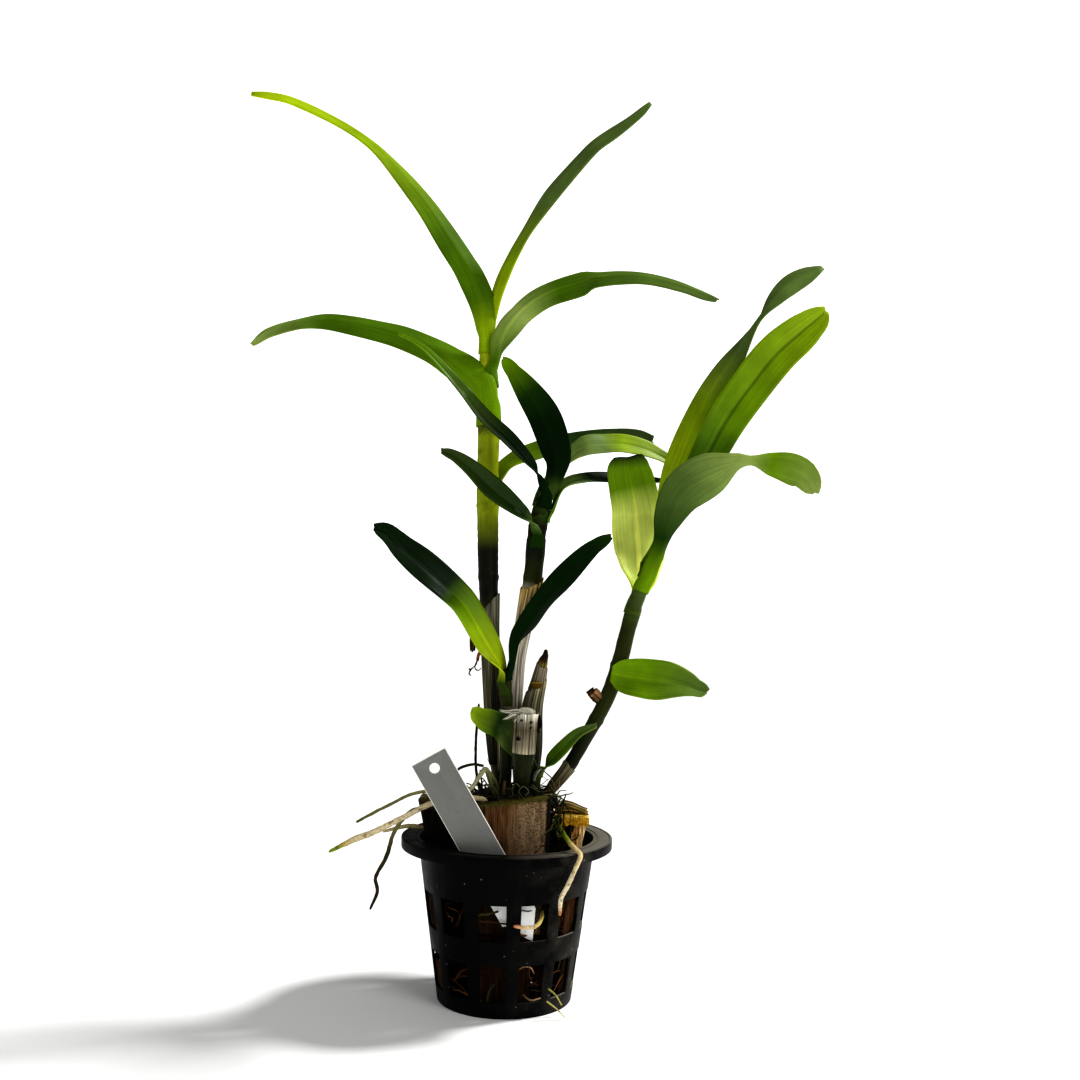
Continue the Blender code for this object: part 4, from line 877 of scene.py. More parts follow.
def edgeHighlight():
    # the strip's cut edges: the same plastic, drawn near white as a painted highlight so they show
    # as thin bright lines
    material, _, shader = newMaterial("labelEdgeHighlight", 0.35, 1.57)
    shader.inputs["Base Color"].default_value = (*linear("f0efe8"), 1)
    return material


def buildLabel(strip):
    half = strip["width"] / 2
    shape = bmesh.new()
    outline = [(0, 0), (half, strip["point"]), (half, strip["length"]), (-half, strip["length"]),
               (-half, strip["point"])]
    corners = [shape.verts.new((x, 0, z)) for x, z in outline]
    border = [shape.edges.new(pair) for pair in zip(corners, corners[1:] + corners[:1])]
    ring = bmesh.ops.create_circle(shape, segments=28, radius=strip["hole"] / 2)["verts"]
    upright = Matrix.Rotation(math.pi / 2, 3, "X")
    bmesh.ops.rotate(shape, verts=ring, cent=(0, 0, 0), matrix=upright)
    bmesh.ops.translate(shape, verts=ring, vec=(0, 0, strip["length"] - strip["holeDown"]))
    round_ = list({edge for vert in ring for edge in vert.link_edges})
    bmesh.ops.triangle_fill(shape, edges=border + round_, use_beauty=True)
    grown = bmesh.ops.extrude_face_region(shape, geom=list(shape.faces))["geom"]
    bmesh.ops.translate(shape, vec=(0, strip["thick"], 0),
                        verts=[g for g in grown if isinstance(g, bmesh.types.BMVert)])
    bmesh.ops.translate(shape, vec=(0, -strip["thick"] / 2, 0), verts=shape.verts)
    bmesh.ops.recalc_face_normals(shape, faces=shape.faces)
    sharp = [e for e in shape.edges if len(e.link_faces) == 2
             and e.calc_face_angle(0) > math.radians(30)]
    bmesh.ops.bevel(shape, geom=sharp, offset=strip["edge"], segments=2, profile=0.5,
                    affect="EDGES", material=-1, clamp_overlap=True)
    for face in shape.faces:
        face.material_index = int(abs(face.normal.y) < 0.95)
    turn = Matrix.Rotation(-math.radians(strip["lean"]), 3, "Y") \
        @ Matrix.Rotation(math.radians(strip["forward"]), 3, "X")
    bmesh.ops.rotate(shape, verts=shape.verts, cent=(0, 0, 0), matrix=turn)
    bmesh.ops.translate(shape, verts=shape.verts, vec=strip["tip"])
    return shape


finishPiece("label_strip", buildLabel(label), [whitePlastic(), edgeHighlight()],
            ["plant_label"], 30)
print("label done")


# ---- husk chunks

def coirFibre():
    # coconut husk: brown fibres pressed in corky pith, so dull, streaked along the grain and
    # pitted; the tone's alpha is 0 where the grain shows and 1 on the speckled outer skin
    material, tree, shader = newMaterial("coirAndPith", 0.92, 1.5, **{"Specular IOR Level": 0.15})
    tone = addNode(tree, "Attribute", attribute_name="tone")
    place = addNode(tree, "TexCoord")
    # strands 0.6 mm apart and 20 mm long
    along = addNode(tree, "Mapping", {"Vector": place.outputs["Object"],
                                      "Scale": (1500, 1500, 50)})
    strands = addNode(tree, "TexNoise", {"Vector": along.outputs["Vector"], "Scale": 1.0,
                                         "Detail": 5.0, "Roughness": 0.65})
    # specks of about 0.7 mm
    pits = addNode(tree, "TexNoise", {"Vector": place.outputs["Object"], "Scale": 1400.0,
                                      "Detail": 4.0, "Roughness": 0.75})
    streak = addNode(tree, "MapRange", {"Value": strands.outputs["Fac"], "From Min": 0.38,
                                        "From Max": 0.62, "To Min": 0.35, "To Max": 1.5})
    speck = addNode(tree, "MapRange", {"Value": pits.outputs["Fac"], "From Min": 0.4,
                                       "From Max": 0.62, "To Min": 0.4, "To Max": 1.75})
    shade = addNode(tree, "Mix", {0: tone.outputs["Alpha"], 2: streak.outputs[0],
                                  3: speck.outputs[0]})
    colour = addNode(tree, "VectorMath", {0: tone.outputs["Color"], 3: shade.outputs[0]},
                     operation="SCALE")
    tree.links.new(colour.outputs[0], shader.inputs["Base Color"])
    relief = addNode(tree, "Mix", {0: tone.outputs["Alpha"], 2: strands.outputs["Fac"],
                                   3: pits.outputs["Fac"]})
    bump = addNode(tree, "Bump", {"Height": relief.outputs[0], "Strength": 0.8,
                                  "Distance": 0.0008})
    tree.links.new(bump.outputs["Normal"], shader.inputs["Normal"])
    return material


coir = coirFibre()
# (left, right, front, back) at the foot and at the head, foot height, head heights left and right
huskChunks = {
    "husk_front": ((-16, 21, -33, -20.5), (-17, 23.4, -34, -20.5), 41.5, (105, 109.8)),
    "husk_left": ((-35, -19, -12, 10), (-46.5, -26, -14, 11), 41.5, (104, 102)),
    "husk_right": ((19.5, 33, -19, -2), (25.5, 41.5, -21, -2), 41.5, (95, 95)),
    "husk_back": ((-16, 16, 16, 33), (-18, 18, 17, 38), 41.5, (99, 100)),
    "husk_middle": ((-18, 18.5, -20, 15), (-24, 24, -20, 15), 41.5, (96, 96)),
    "husk_low_front": ((-15, 13, -29, -11), (-16, 14, -31, -11), 1.8, (41, 41)),
    "husk_low_left": ((-30, -16, -10.5, 12), (-34, -16, -10.5, 12), 1.8, (41, 41)),
    "husk_low_right": ((14.5, 30, -10.5, 12), (14.5, 34, -10.5, 12), 1.8, (41, 41)),
    "husk_low_back": ((-15, 15, 12.5, 29), (-16, 16, 12.5, 32), 1.8, (41, 41)),
    "husk_low_middle": ((-15.5, 14, -10.5, 12), (-15.5, 14, -10.5, 12), 1.8, (41, 41)),
}
chunkCuts = 26
chunkDip, chunkGroove, chunkChip = 1.2, 0.5, 0.9


def grain(place, across, along, seed=0.0):
    # -1 to 1, in streaks that run up and down
    return noise.noise(Vector((place.x * across + seed, place.y * across, place.z * along)))


def chunkTone(name, place, u, w):
    # colour of a chunk's surface at a place; u runs left to right and w from the foot to the head
    base, speckled = linear("5c4026"), 0.0
    if name == "husk_front":
        turn = 0.12 + 0.18 * grain(place, 0.05, 0.05, 3.0)
        share = min(1, max(0, (u - turn) / 0.5 + 0.5))
        base = blend(linear("64482c"), linear("8c765c"), share)
        speckled = share
        if u > 0.9 + 0.05 * grain(place, 0.1, 0.3):
            base = linear("1e1710")
        elif w > 0.978 + 0.012 * grain(place, 0.25, 0.25, 7.0):
            base = linear(("4c4a18", "5c5028")[grain(place, 0.4, 0.4) > 0.1])
    elif name == "husk_left":
        base = linear(("17140c", "29241a")[grain(place, 0.6, 0.03) > 0.15])
        if w > 0.95:
            base = linear("4a4224")
    elif name == "husk_right":
        # near black over its left part: painted shade in the recess there; the right part of the
        # cut face is pale pith drawn lighter still as painted sunlight
        base = linear("0f0b07" if u < 0.12 + 0.06 * grain(place, 0.3, 0.1) else "c8985c")
        if u > 0.55:
            base = linear("f4cf96")
    elif w > 0.97:
        base = linear("4a3a20")
    elif name.startswith("husk_low"):
        base = linear("38220f")
    dark = 1 + 0.45 * grain(place, 0.9, 0.06, 11.0)
    # painted shade: the front chunk darkens from 82 mm down to 66 mm, below the pot's rim, where
    # the pot shades it
    if name == "husk_front":
        dark *= 0.3 + 0.7 * min(1, max(0, (place.z - 66) / 16))
    return (*[c * dark for c in base], speckled)


def huskChunk(name, foot, head, low, heights):
    shape = newShape()
    tone = shape.verts.layers.float_color["tone"]
    bmesh.ops.create_cube(shape, size=2)
    bmesh.ops.subdivide_edges(shape, edges=shape.edges, cuts=chunkCuts, use_grid_fill=True)
    for vert in shape.verts:
        u, v, w = vert.co
        rise = (w + 1) / 2
        left, right_, front, back = blend(foot, head, rise)
        corner = 1 - 0.07 * abs(u * v) ** 3
        high = heights[0] + (heights[1] - heights[0]) * (u + 1) / 2
        place = Vector(((left + right_) / 2 + (right_ - left) / 2 * u * corner,
                        (front + back) / 2 + (back - front) / 2 * v * corner,
                        low + (high - low) * rise))
        vert[tone] = chunkTone(name, place, u, rise)
        pull = Vector((u if abs(u) > 0.99 else 0, v if abs(v) > 0.99 else 0, 0))
        dip = chunkDip * (0.5 + 0.5 * noise.noise(place * 0.11))
        dip += chunkGroove * max(0, grain(place, 0.55, 0.03, 5.0)) * 2
        dip += chunkChip * max(0, grain(place, 0.25, 0.25, 9.0) - 0.25)
        if rise > 0.99:
            place.z -= chunkChip * (0.5 + 0.5 * grain(place, 0.5, 0.5, 2.0))
        vert.co = place - pull * dip
    finishPiece("coir_" + name, shape, [coir], [name], 60)


for name, chunk in huskChunks.items():
    huskChunk(name, *chunk)
print("husk done")


# ---- strands: rootlets, coir threads and straw

def strand(shape, points, radii, tones, sides=5, step=1.2):
    # thin tube along a smooth curve; the radius runs from the first of radii to the last
    length = sum(math.dist(a, b) for a, b in zip(points, points[1:]))
    count = max(4, round(length / step))
    rows = smoothRows([(*p, 0) for p in points], count)
    thick = [radii[0] + (radii[-1] - radii[0]) * k / (count - 1) for k in range(count)]
    if len(radii) == 3:
        thick = [t + (radii[1] - (radii[0] + radii[-1]) / 2) * math.sin(math.pi * k / (count - 1))
                 for k, t in enumerate(thick)]
    addTube(shape, [(*row[:3], t) for row, t in zip(rows, thick)], sides, tones)


def wander(dice, start, heading, length, bend, sag=0.0, step=2.2):
    # points of a wandering thread
    place, ahead = Vector(start), Vector(heading).normalized()
    points = [tuple(place)]
    for _ in range(max(2, round(length / step))):
        ahead = (ahead + Vector([dice.uniform(-bend, bend) for _ in range(3)])
                 - Vector((0, 0, sag))).normalized()
        place = place + ahead * step
        points.append(tuple(place))
    return points


crown = {"centre": (2, -6, 104.5), "half": (23, 11.5, 5), "rootlets": 280, "length": (6, 18),
         "radius": (0.3, 0.75), "seed": 4,
         "tones": (["12120a", "20210f"], ["1c1d10", "3a3c22"], ["2c2f18", "5a5c3c"],
                   ["4a4c30", "8c8c68"], ["241c10", "4a3a22"])}
dice = random.Random(crown["seed"])
shape = newShape()
for k in range(crown["rootlets"]):
    turn, out = dice.uniform(0, math.tau), math.sqrt(dice.uniform(0.02, 1))
    start = [c + h * f for c, h, f in zip(crown["centre"], crown["half"],
                                          (out * math.cos(turn), out * math.sin(turn),
                                           dice.uniform(-1, 0.6)))]
    heading = (math.cos(turn) + dice.uniform(-1, 1), math.sin(turn) + dice.uniform(-1, 1),
               dice.uniform(-0.2, 1.3))
    radius = dice.uniform(*crown["radius"])
    dark, light = dice.choice(crown["tones"])
    strand(shape, wander(dice, start, heading, dice.uniform(*crown["length"]), 0.75, 0.12),
           (radius, radius * 0.45), [(0, dark), (1, light)])
rootStep = 0.9          # length of a segment in the roots drawn one by one
# old roots and bud stumps that show on the crown: points, radii, colours
crownRoots = [
    ([(-4, -11, 103), (-5.2, -14, 111), (-7.6, -16.5, 117), (-9.8, -18.3, 120.5)], (1.7, 0.9),
     [(0, "34360f"), (0.6, "4c4a20"), (1, "8a8a60")]),
    ([(-1.5, -14, 102), (-1.8, -15.5, 109), (-1.2, -16, 115)], (1.4, 0.8),
     [(0, "3a3418"), (1, "6b5c30")]),
    ([(-4, -17, 103), (-5.5, -18.5, 110.5), (-8, -19.5, 113), (-11.5, -19.5, 113.6)], (1.0, 0.5),
     [(0, "2c3014"), (1, "56603a")]),
    ([(-10, -14, 103), (-15, -17, 107), (-20, -18, 106.5)], (0.9, 0.5),
     [(0, "14140a"), (1, "2c2c18")]),
    ([(9, -20.5, 107), (6, -21.6, 110.5), (8.4, -22.2, 113.5), (11, -22, 111),
      (9.4, -21.8, 108.6)], (0.28, 0.2), [(0, "5c6040"), (1, "8a8c6c")]),
    ([(4, -20.6, 107), (2.6, -21.4, 111.5), (4.6, -22.4, 115), (6.6, -22.3, 113)],
     (0.28, 0.2), [(0, "4c5038"), (1, "7c7e60")]),
    ([(-2, -10, 106), (-1, -13, 116), (1, -15, 120), (3.5, -15.5, 123.5)], (0.45, 0.3),
     [(0, "1c1c12"), (1, "2c2a1c")]),
    ([(-13, -6, 105), (-13.5, -7, 113), (-14.5, -7, 119)], (0.6, 0.35),
     [(0, "1c1c12"), (1, "2c2a1c")]),
]
for points, radii, tones in crownRoots:
    strand(shape, points, radii, tones, sides=9, step=rootStep)
finishPiece("crown_rootlets", shape, [velamen])

# rootlets and threads at the right, between the front chunk and the right one
sideTangle = {"low": (23.5, -31, 85), "high": (30, -22, 108), "count": 34, "length": (8, 20),
              "radius": (0.25, 0.6), "seed": 9}
dice = random.Random(sideTangle["seed"])
shape = newShape()
for k in range(sideTangle["count"]):
    start = [dice.uniform(a, b) for a, b in zip(sideTangle["low"], sideTangle["high"])]
    radius = dice.uniform(*sideTangle["radius"])
    dark, light = dice.choice((("10110a", "1e2012"), ("181a0c", "33371a"), ("20240f", "4a5028"),
                               ("1c150c", "3a2c18")))
    strand(shape, wander(dice, start, (dice.uniform(-0.4, 0.4), dice.uniform(-0.3, 0.3), -1),
                         dice.uniform(*sideTangle["length"]), 0.55),
           (radius, radius * 0.5), [(0, dark), (1, light)])
sideRoots = [
    ([(24, -24, 108), (26.5, -23, 104), (28.5, -22.5, 106), (30, -22, 110)], (0.7, 0.3),
     [(0, "14120a"), (1, "3a2e18")]),
    ([(25, -27, 92), (27, -28.5, 89.5), (29.5, -28, 91.5)], (0.9, 0.4),
     [(0, "4c5430"), (1, "6c7448")]),
    ([(24.4, -26, 97), (25.6, -27.6, 95), (25.8, -27, 92)], (0.9, 0.5),
     [(0, "5c5c38"), (1, "7c7654")]),
    ([(25, -25, 89), (27.4, -27, 86.8), (32, -29, 91.4), (33, -28, 95)], (0.45, 0.3),
     [(0, "1c1d10"), (1, "2c2e18")]),
]
for points, radii, tones in sideRoots:
    strand(shape, points, radii, tones, sides=8, step=rootStep)
finishPiece("side_rootlets", shape, [velamen])

# the right chunk's cut face: a band of ochre pith under sloping straw-coloured coir
strawWedge = {"band": ((24.6, 42, -22.5, -3), 94.2, 99.4), "apex": (29.4, -14, 105), "count": 46,
              "seed": 12}
(left, right_, front, back), low, high = strawWedge["band"]
shape = newShape()
tone = shape.verts.layers.float_color["tone"]
bmesh.ops.create_cube(shape, size=2)
bmesh.ops.subdivide_edges(shape, edges=shape.edges, cuts=16, use_grid_fill=True)
for vert in shape.verts:
    u, v, w = vert.co
    drop = 1.6 * max(0, u - 0.55) ** 2 * 5 * max(0, w)
    place = Vector(((left + right_) / 2 + (right_ - left) / 2 * u,
                    (front + back) / 2 + (back - front) / 2 * v * (1 - 0.12 * max(0, u) ** 4),
                    (low + high) / 2 + (high - low) / 2 * w - drop))
    sag = 0.8 * noise.noise(place * 0.35) + 0.3 * noise.noise(place * 1.3)
    vert.co = place + Vector((0, v * sag * 0.7, w * sag * (1 if w < 0 else 0.4)))
    shade = 1 + 0.35 * noise.noise(place * 0.5)
    vert[tone] = (*[c * shade for c in linear("b08624" if w < 0.6 else "d0ae54")], 0.6)
finishPiece("pith_band", shape, [coir])

dice = random.Random(strawWedge["seed"])
shape = newShape()
for k in range(strawWedge["count"]):
    depth = dice.uniform(front + 0.5, back - 2)
    lift = dice.uniform(0, 1) ** 1.3
    top = 99.6 + lift * 5.2
    start = (25.4 + lift * 3 + dice.uniform(-0.6, 0.6), depth, top - 0.6)
    bend = (33 + dice.uniform(-1, 1), depth + dice.uniform(-1, 1), 99.6 + lift * 3.6)
    end = (41.2 + dice.uniform(-1.5, 0.6), depth + dice.uniform(-1.5, 1.5), 99.3 + lift * 0.6)
    light = dice.choice(("d8c27c", "c9ac54", "e2d29a", "8f7430", "5c4a1c", "b8943c"))
    strand(shape, [start, bend, end], (dice.uniform(0.3, 0.6), 0.3), [(0, light), (1, light)],
           step=2)
finishPiece("straw_wedge", shape, [drySheath])


# mats of fibre and old roots along the inside of the pot's wall, seen through its windows
rootMats = {
    # degrees from and to, heights, distance inside the wall
    "mat_left": ((150, 212), (38, 76), 2.0),
    "mat_right": ((-40, 24), (38, 72), 2.6),
    "mat_low_right": ((-34, 30), (2.5, 33), 2.8),
    "mat_low_left": ((172, 214), (2.5, 22), 2.0),
}
matTones = (("1c0f07", "33200f"), ("2a160a", "5a3a1c"))
matThick, matLumps = 0.9, 0.9
for seed, (name, (turns, heights, inside)) in enumerate(rootMats.items()):
    shape = newShape()
    tone = shape.verts.layers.float_color["tone"]
    bmesh.ops.create_grid(shape, x_segments=36, y_segments=30, size=1)
    for vert in shape.verts:
        turn = math.radians(turns[0] + (turns[1] - turns[0]) * (vert.co.x + 1) / 2)
        height = heights[0] + (heights[1] - heights[0]) * (vert.co.y + 1) / 2
        ragged = 1.5 * noise.noise(Vector((turn * 9, seed, 0))) * vert.co.y
        wall = wallRadius(height)
        out = Vector((math.cos(turn), math.sin(turn), 0))
        lumps = matLumps * grain(out * wall + Vector((0, 0, height)), 0.5, 0.1, seed)
        vert.co = out * (wall - inside + lumps)
        vert.co.z = height + ragged
        dark, light = matTones[seed % 2]
        share = 0.5 + 0.5 * grain(vert.co, 0.8, 0.12, seed)
        vert[tone] = (*blend(linear(dark), linear(light), share), 0.2)
    thicken(finishPiece(name, shape, [coir]), matThick, 0)

# roots and fibres in the windows: at the front they wander just inside the wall
windowRoots = {"count": 46, "seed": 21, "length": (10, 26), "radius": (0.3, 0.8),
               "startInside": 4.2, "keepInside": 2.4, "lowest": 3.0,
               "tones": (["1c120a", "2c1c10"], ["33200f", "5c3c20"], ["2c2a14", "5a5630"],
                         ["5c3a1c", "8f6434"], ["14100a", "241a10"])}
dice = random.Random(windowRoots["seed"])
shape = newShape()
for k in range(windowRoots["count"]):
    turn = math.radians(dice.uniform(-170, -10))
    height = dice.uniform(6, 28) if k % 2 else dice.uniform(38, 56)
    reach = wallRadius(height) - windowRoots["startInside"]
    start = (math.cos(turn) * reach, math.sin(turn) * reach, height)
    swing = dice.choice((-1, 1))
    heading = (-math.sin(turn) * swing, math.cos(turn) * swing, dice.uniform(-0.7, 0.7))
    radius = dice.uniform(*windowRoots["radius"])
    dark, light = dice.choice(windowRoots["tones"])
    points = []
    for point in wander(dice, start, heading, dice.uniform(*windowRoots["length"]), 0.35):
        most = wallRadius(point[2]) - windowRoots["keepInside"]
        pull = min(1, most / Vector(point).xy.length)
        points.append((point[0] * pull, point[1] * pull, max(windowRoots["lowest"], point[2])))
    strand(shape, points, (radius, radius * 0.5), [(0, dark), (1, light)])
# pale thin roots that show in the lower windows, and curled ones in the upper window
windowPale = [
    ([(22.6, -29.4, 14), (26.4, -28.6, 10.6), (29.6, -28.2, 5.4)], (0.5, 0.35),
     [(0, "8a8a3c"), (1, "c8c078")]),
    ([(22, -33.4, 9), (27, -33.6, 5.4), (31.4, -34, 1.2)], (0.45, 0.25),
     [(0, "a8a45c"), (1, "d8cc94")]),
    ([(8, -31.6, 24), (11, -33, 26), (14, -32.6, 25), (15.6, -32, 22)], (0.5, 0.35),
     [(0, "8a5c34"), (0.5, "d8b894"), (1, "7a4c28")]),
    ([(-12, -31.4, 22), (-13, -32.6, 13), (-9, -33, 5)], (0.7, 0.5),
     [(0, "2c3014"), (1, "4c5424")]),
    ([(-8, -32, 6), (-6.4, -33.4, 14), (-3, -33.6, 18)], (0.7, 0.4),
     [(0, "3a4220"), (1, "2c3014")]),
    ([(10, -33, 12), (14, -33.4, 9.4), (19, -32, 10)], (0.5, 0.4), [(0, "5c4630"), (1, "a08868")]),
]
for points, radii, tones in windowPale:
    strand(shape, points, radii, tones, sides=7, step=rootStep)
finishPiece("window_roots", shape, [velamen])


# ---- dry canes, sheaths and scraps

def addSheath(shape, axis, low, high, reach, tones, slope=(0, 0), ragged=0.8, flare=0.0, seed=0,
              sides=32, steps=30):
    # papery sheath round a cane: torn along its top, which rises by slope mm towards slope degrees
    tone = shape.verts.layers.float_color["tone"]
    made = bmesh.ops.create_grid(shape, x_segments=sides, y_segments=steps, size=1, calc_uvs=True)
    verts = made["verts"]
    scaleUv(shape, {face for vert in verts for face in vert.link_faces}, sheathSize[0],
            high - low, seed)
    for vert in verts:
        turn, share = (vert.co.x + 1) * math.pi, (vert.co.y + 1) / 2
        round_ = Vector((math.cos(turn), math.sin(turn), 0))
        top = high + slope[1] * math.cos(turn - math.radians(slope[0]))
        top += ragged * (noise.noise(round_ * 2.2 + Vector((0, 0, seed)))
                         + 0.8 * noise.noise(round_ * 6 + Vector((0, 0, seed + 3))))
        height = low + (top - low) * share
        centre, along, radius = axisAt(axis, height)
        out = (round_ - along * round_.dot(along)).normalized()
        wrinkle = 0.16 * noise.noise(round_ * 3.5 + Vector((0, 0, height * 0.06 + seed)))
        lift = reach + flare * max(0, share - 0.8) * 5 * (0.6 + noise.noise(round_ * 2.5))
        vert.co = centre + out * (radius + lift + wrinkle)
        shade = 1 + 0.5 * noise.noise(round_ * 4 + Vector((0, 0, height * 0.02 + seed * 2)))
        vert[tone] = (*[c * shade for c in toneAt(tones, share)], 1)
    bmesh.ops.remove_doubles(shape, verts=verts, dist=1e-4)


def finishSheath(name, shape, replaced=(), thick=0.3):
    thicken(finishPiece(name, shape, [drySheath], replaced, 60), thick, -1)


sheaths = {
    # cane, foot and head heights, reach off the cane, colours, slope of the torn edge
    "sheath_tall": ("cane_tall", 121, 205, 0.32,
                    [(0, "2f2a1c"), (0.3, "5c5744"), (0.7, "6d6955"), (1, "7d7a68")], (0, 5.5)),
    "sheath_middle": ("cane_middle", 118, 216, 0.32,
                      [(0, "8a8270"), (0.5, "c4bcac"), (0.8, "aaa290"), (1, "d8b870")], (20, 3.5)),
    "sheath_right": ("cane_right", 107.5, 121.5, 0.28,
                     [(0, "5c5640"), (0.5, "6a6048"), (1, "8a8468")], (200, 1.0)),
}
for seed, (name, (cane, low, high, reach, tones, slope)) in enumerate(sheaths.items()):
    shape = newShape()
    addSheath(shape, canes[cane]["axis"], low, high, reach, tones, slope, ragged=1.2,
              flare=0.5, seed=seed + 1)
    finishSheath(name, shape)

# the cut cane in front: olive below, a grey split sheath above it and a torn white skin on top
cutCane = {"axis": [(7, -15.5, 105, 2.0), (7.5, -16.5, 116, 4.2), (8, -17, 128, 5.1),
                    (9, -17, 150, 5.3)], "band": 129.7, "top": 149.5,
           "holes": ((-125, 137.5, 0.95), (-62, 146.0, 0.7), (-60, 143.2, 0.6), (-112, 147, 0.6))}
shape = newShape()
rows = caneRows(cutCane["axis"], (129,), 1.5)
addTube(shape, rows, 24, [(0, "10140a"), (0.25, "1e240a"), (0.42, "262c0c"), (0.54, "20260a"),
                          (0.56, "5c5640"), (0.93, "8a8270"), (1, "d8d2c0")], 0.04)
finishPiece("skin_cane_cut", shape, [caneSkin], ["cane_cut"])
shape = newShape()
addSheath(shape, cutCane["axis"], cutCane["band"], cutCane["top"], 0.45,
          [(0, "b4ab92"), (0.2, "8d8470"), (0.6, "6a614e"), (0.78, "8c8471"), (0.86, "b8b2a0"),
           (1, "dcd7c7")], (-30, 0.8), ragged=1.4, flare=0.9, seed=8, sides=44, steps=40)
tone = shape.verts.layers.float_color["tone"]
# each hole is pressed in 0.4 mm and drawn near black: painted shade inside it
for vert in shape.verts:
    for turn, height, size in cutCane["holes"]:
        centre, _, radius = axisAt(cutCane["axis"], height)
        spot = centre + Vector((math.cos(math.radians(turn)), math.sin(math.radians(turn)), 0)) \
            * (radius + 0.45)
        if (vert.co - spot).length < size * 1.25:
            vert[tone] = (*linear("070503"), 1)
            vert.co -= (spot - centre).normalized() * 0.4
finishSheath("sheath_cut", shape)

# the old cane behind it: split grey sheaths, an eye with a golden rim and a broken tip
oldCane = [(12, 2, 106, 2.0), (12.5, 2, 128, 4.6), (12, 1, 150, 5.1), (15, 1, 165, 3.7),
           (17, 1, 175, 2.5), (18.3, 1, 178.6, 1.6), (18.6, 0.8, 181.2, 0.9)]
shape = newShape()
addTube(shape, caneRows(oldCane, (174.5,), 1.2), 22,
        [(0, "34301f"), (0.5, "5c5a44"), (0.86, "6d6a54"), (0.895, "8a7a3c"), (0.91, "5c4c24"),
         (0.93, "3a2e1c"), (1, "2a1e16")], 0.12, 3)
finishPiece("skin_cane_old", shape, [drySheath], ["cane_old"])
shape = newShape()
addSheath(shape, oldCane, 108, 162.5, 0.45, [(0, "403c2a"), (0.6, "5f5c46"), (0.9, "757058"),
                                             (1, "948c70")], (5, 4.5),
          ragged=1.6, flare=0.3, seed=15, sides=36, steps=34)
addSheath(shape, oldCane, 160, 173, 0.35, [(0, "6f6858"), (1, "948a74")], (170, 1.0),
          ragged=1.0, flare=0.2, seed=19, sides=30, steps=14)
finishSheath("sheath_old", shape)
oldEye = {"place": (13.9, -3.2, 163.6), "size": (3.1, 1.5, 2.5)}
shape = newShape()
tone = shape.verts.layers.float_color["tone"]
bmesh.ops.create_uvsphere(shape, u_segments=24, v_segments=16, radius=1)
for vert in shape.verts:
    high = vert.co.z > 0.35
    vert[tone] = (*linear("c09a34" if high else "6a5414"), 1)
    place = Vector((vert.co.x, vert.co.y, min(vert.co.z, 0.45)))
    vert.co = Vector([p + s * c for p, s, c in zip(oldEye["place"], oldEye["size"], place)])
finishPiece("eye_old", shape, [drySheath])

# scraps: points, radii, colours of each, as small tapered tubes
scraps = {
    "stub_lobes": (["stub_right"], [
        ([(48.5, -3, 155.5), (46, -4, 158.4), (43.6, -4.6, 160.6)], (2.1, 2.8),
         [(0, "5c4630"), (0.7, "8f6f4c"), (1, "a8835a")]),
        ([(47, -2.5, 154.6), (43.6, -3.6, 158.6), (41.6, -3.8, 161.2)], (1.7, 2.3),
         [(0, "3a2a1a"), (0.6, "6a4c30"), (1, "2a1a10")])]),
    "nub_tall": ([], [
        ([(-14.5, 2, 180), (-16.6, 1, 178.4), (-17.3, 0.6, 175)], (1.1, 0.6),
         [(0, "8a4a2a"), (0.6, "a8623a"), (1, "4a2414")]),
        ([(-17.2, 0.6, 175.6), (-18.4, 0, 172.6), (-20.6, -0.6, 170.4), (-21.4, -0.4, 168.2),
          (-20.4, -0.4, 167.4)], (0.45, 0.3), [(0, "2c1c14"), (1, "241c1a")]),
        ([(-18.6, 0, 172.4), (-18, -0.4, 170.6), (-16.4, -0.2, 170.2), (-15.2, 0.6, 171.4)],
         (0.35, 0.25), [(0, "241c1a"), (1, "241c1a")]),
        ([(-20, -0.6, 171), (-21.6, -1, 170.6)], (0.3, 0.5), [(0, "241c1a"), (1, "34302c")])]),
    "knob_cut": ([], [
        ([(13.5, -15.5, 149.5), (15, -14.6, 147.5), (15.6, -14.4, 144), (15, -14.6, 141),
          (15.8, -14.6, 140)], (1.2, 1.6, 0.6), [(0, "1e1812"), (0.5, "120e0a"), (1, "1a1410")]),
        ([(14.5, -14.5, 146), (16.6, -14.2, 145), (16.8, -14.2, 142.6)], (0.9, 0.5),
         [(0, "120e0a"), (1, "241c14")])]),
}
for seed, (name, (replaced, parts)) in enumerate(scraps.items()):
    shape = newShape()
    for points, radii, tones in parts:
        length = sum(math.dist(a, b) for a, b in zip(points, points[1:]))
        count = max(6, round(length / 0.45))
        curve = smoothRows([(*point, 0) for point in points], count)
        thick = [radii[0] + (radii[-1] - radii[0]) * k / (count - 1)
                 + (0.5 * math.sin(math.pi * k / (count - 1)) if len(radii) == 3 else 0)
                 for k in range(count)]
        addTube(shape, [(*row[:3], t) for row, t in zip(curve, thick)], 12, tones, 0.35, seed)
    finishPiece(name, shape, [velamen if name == "nub_tall" else drySheath], replaced)


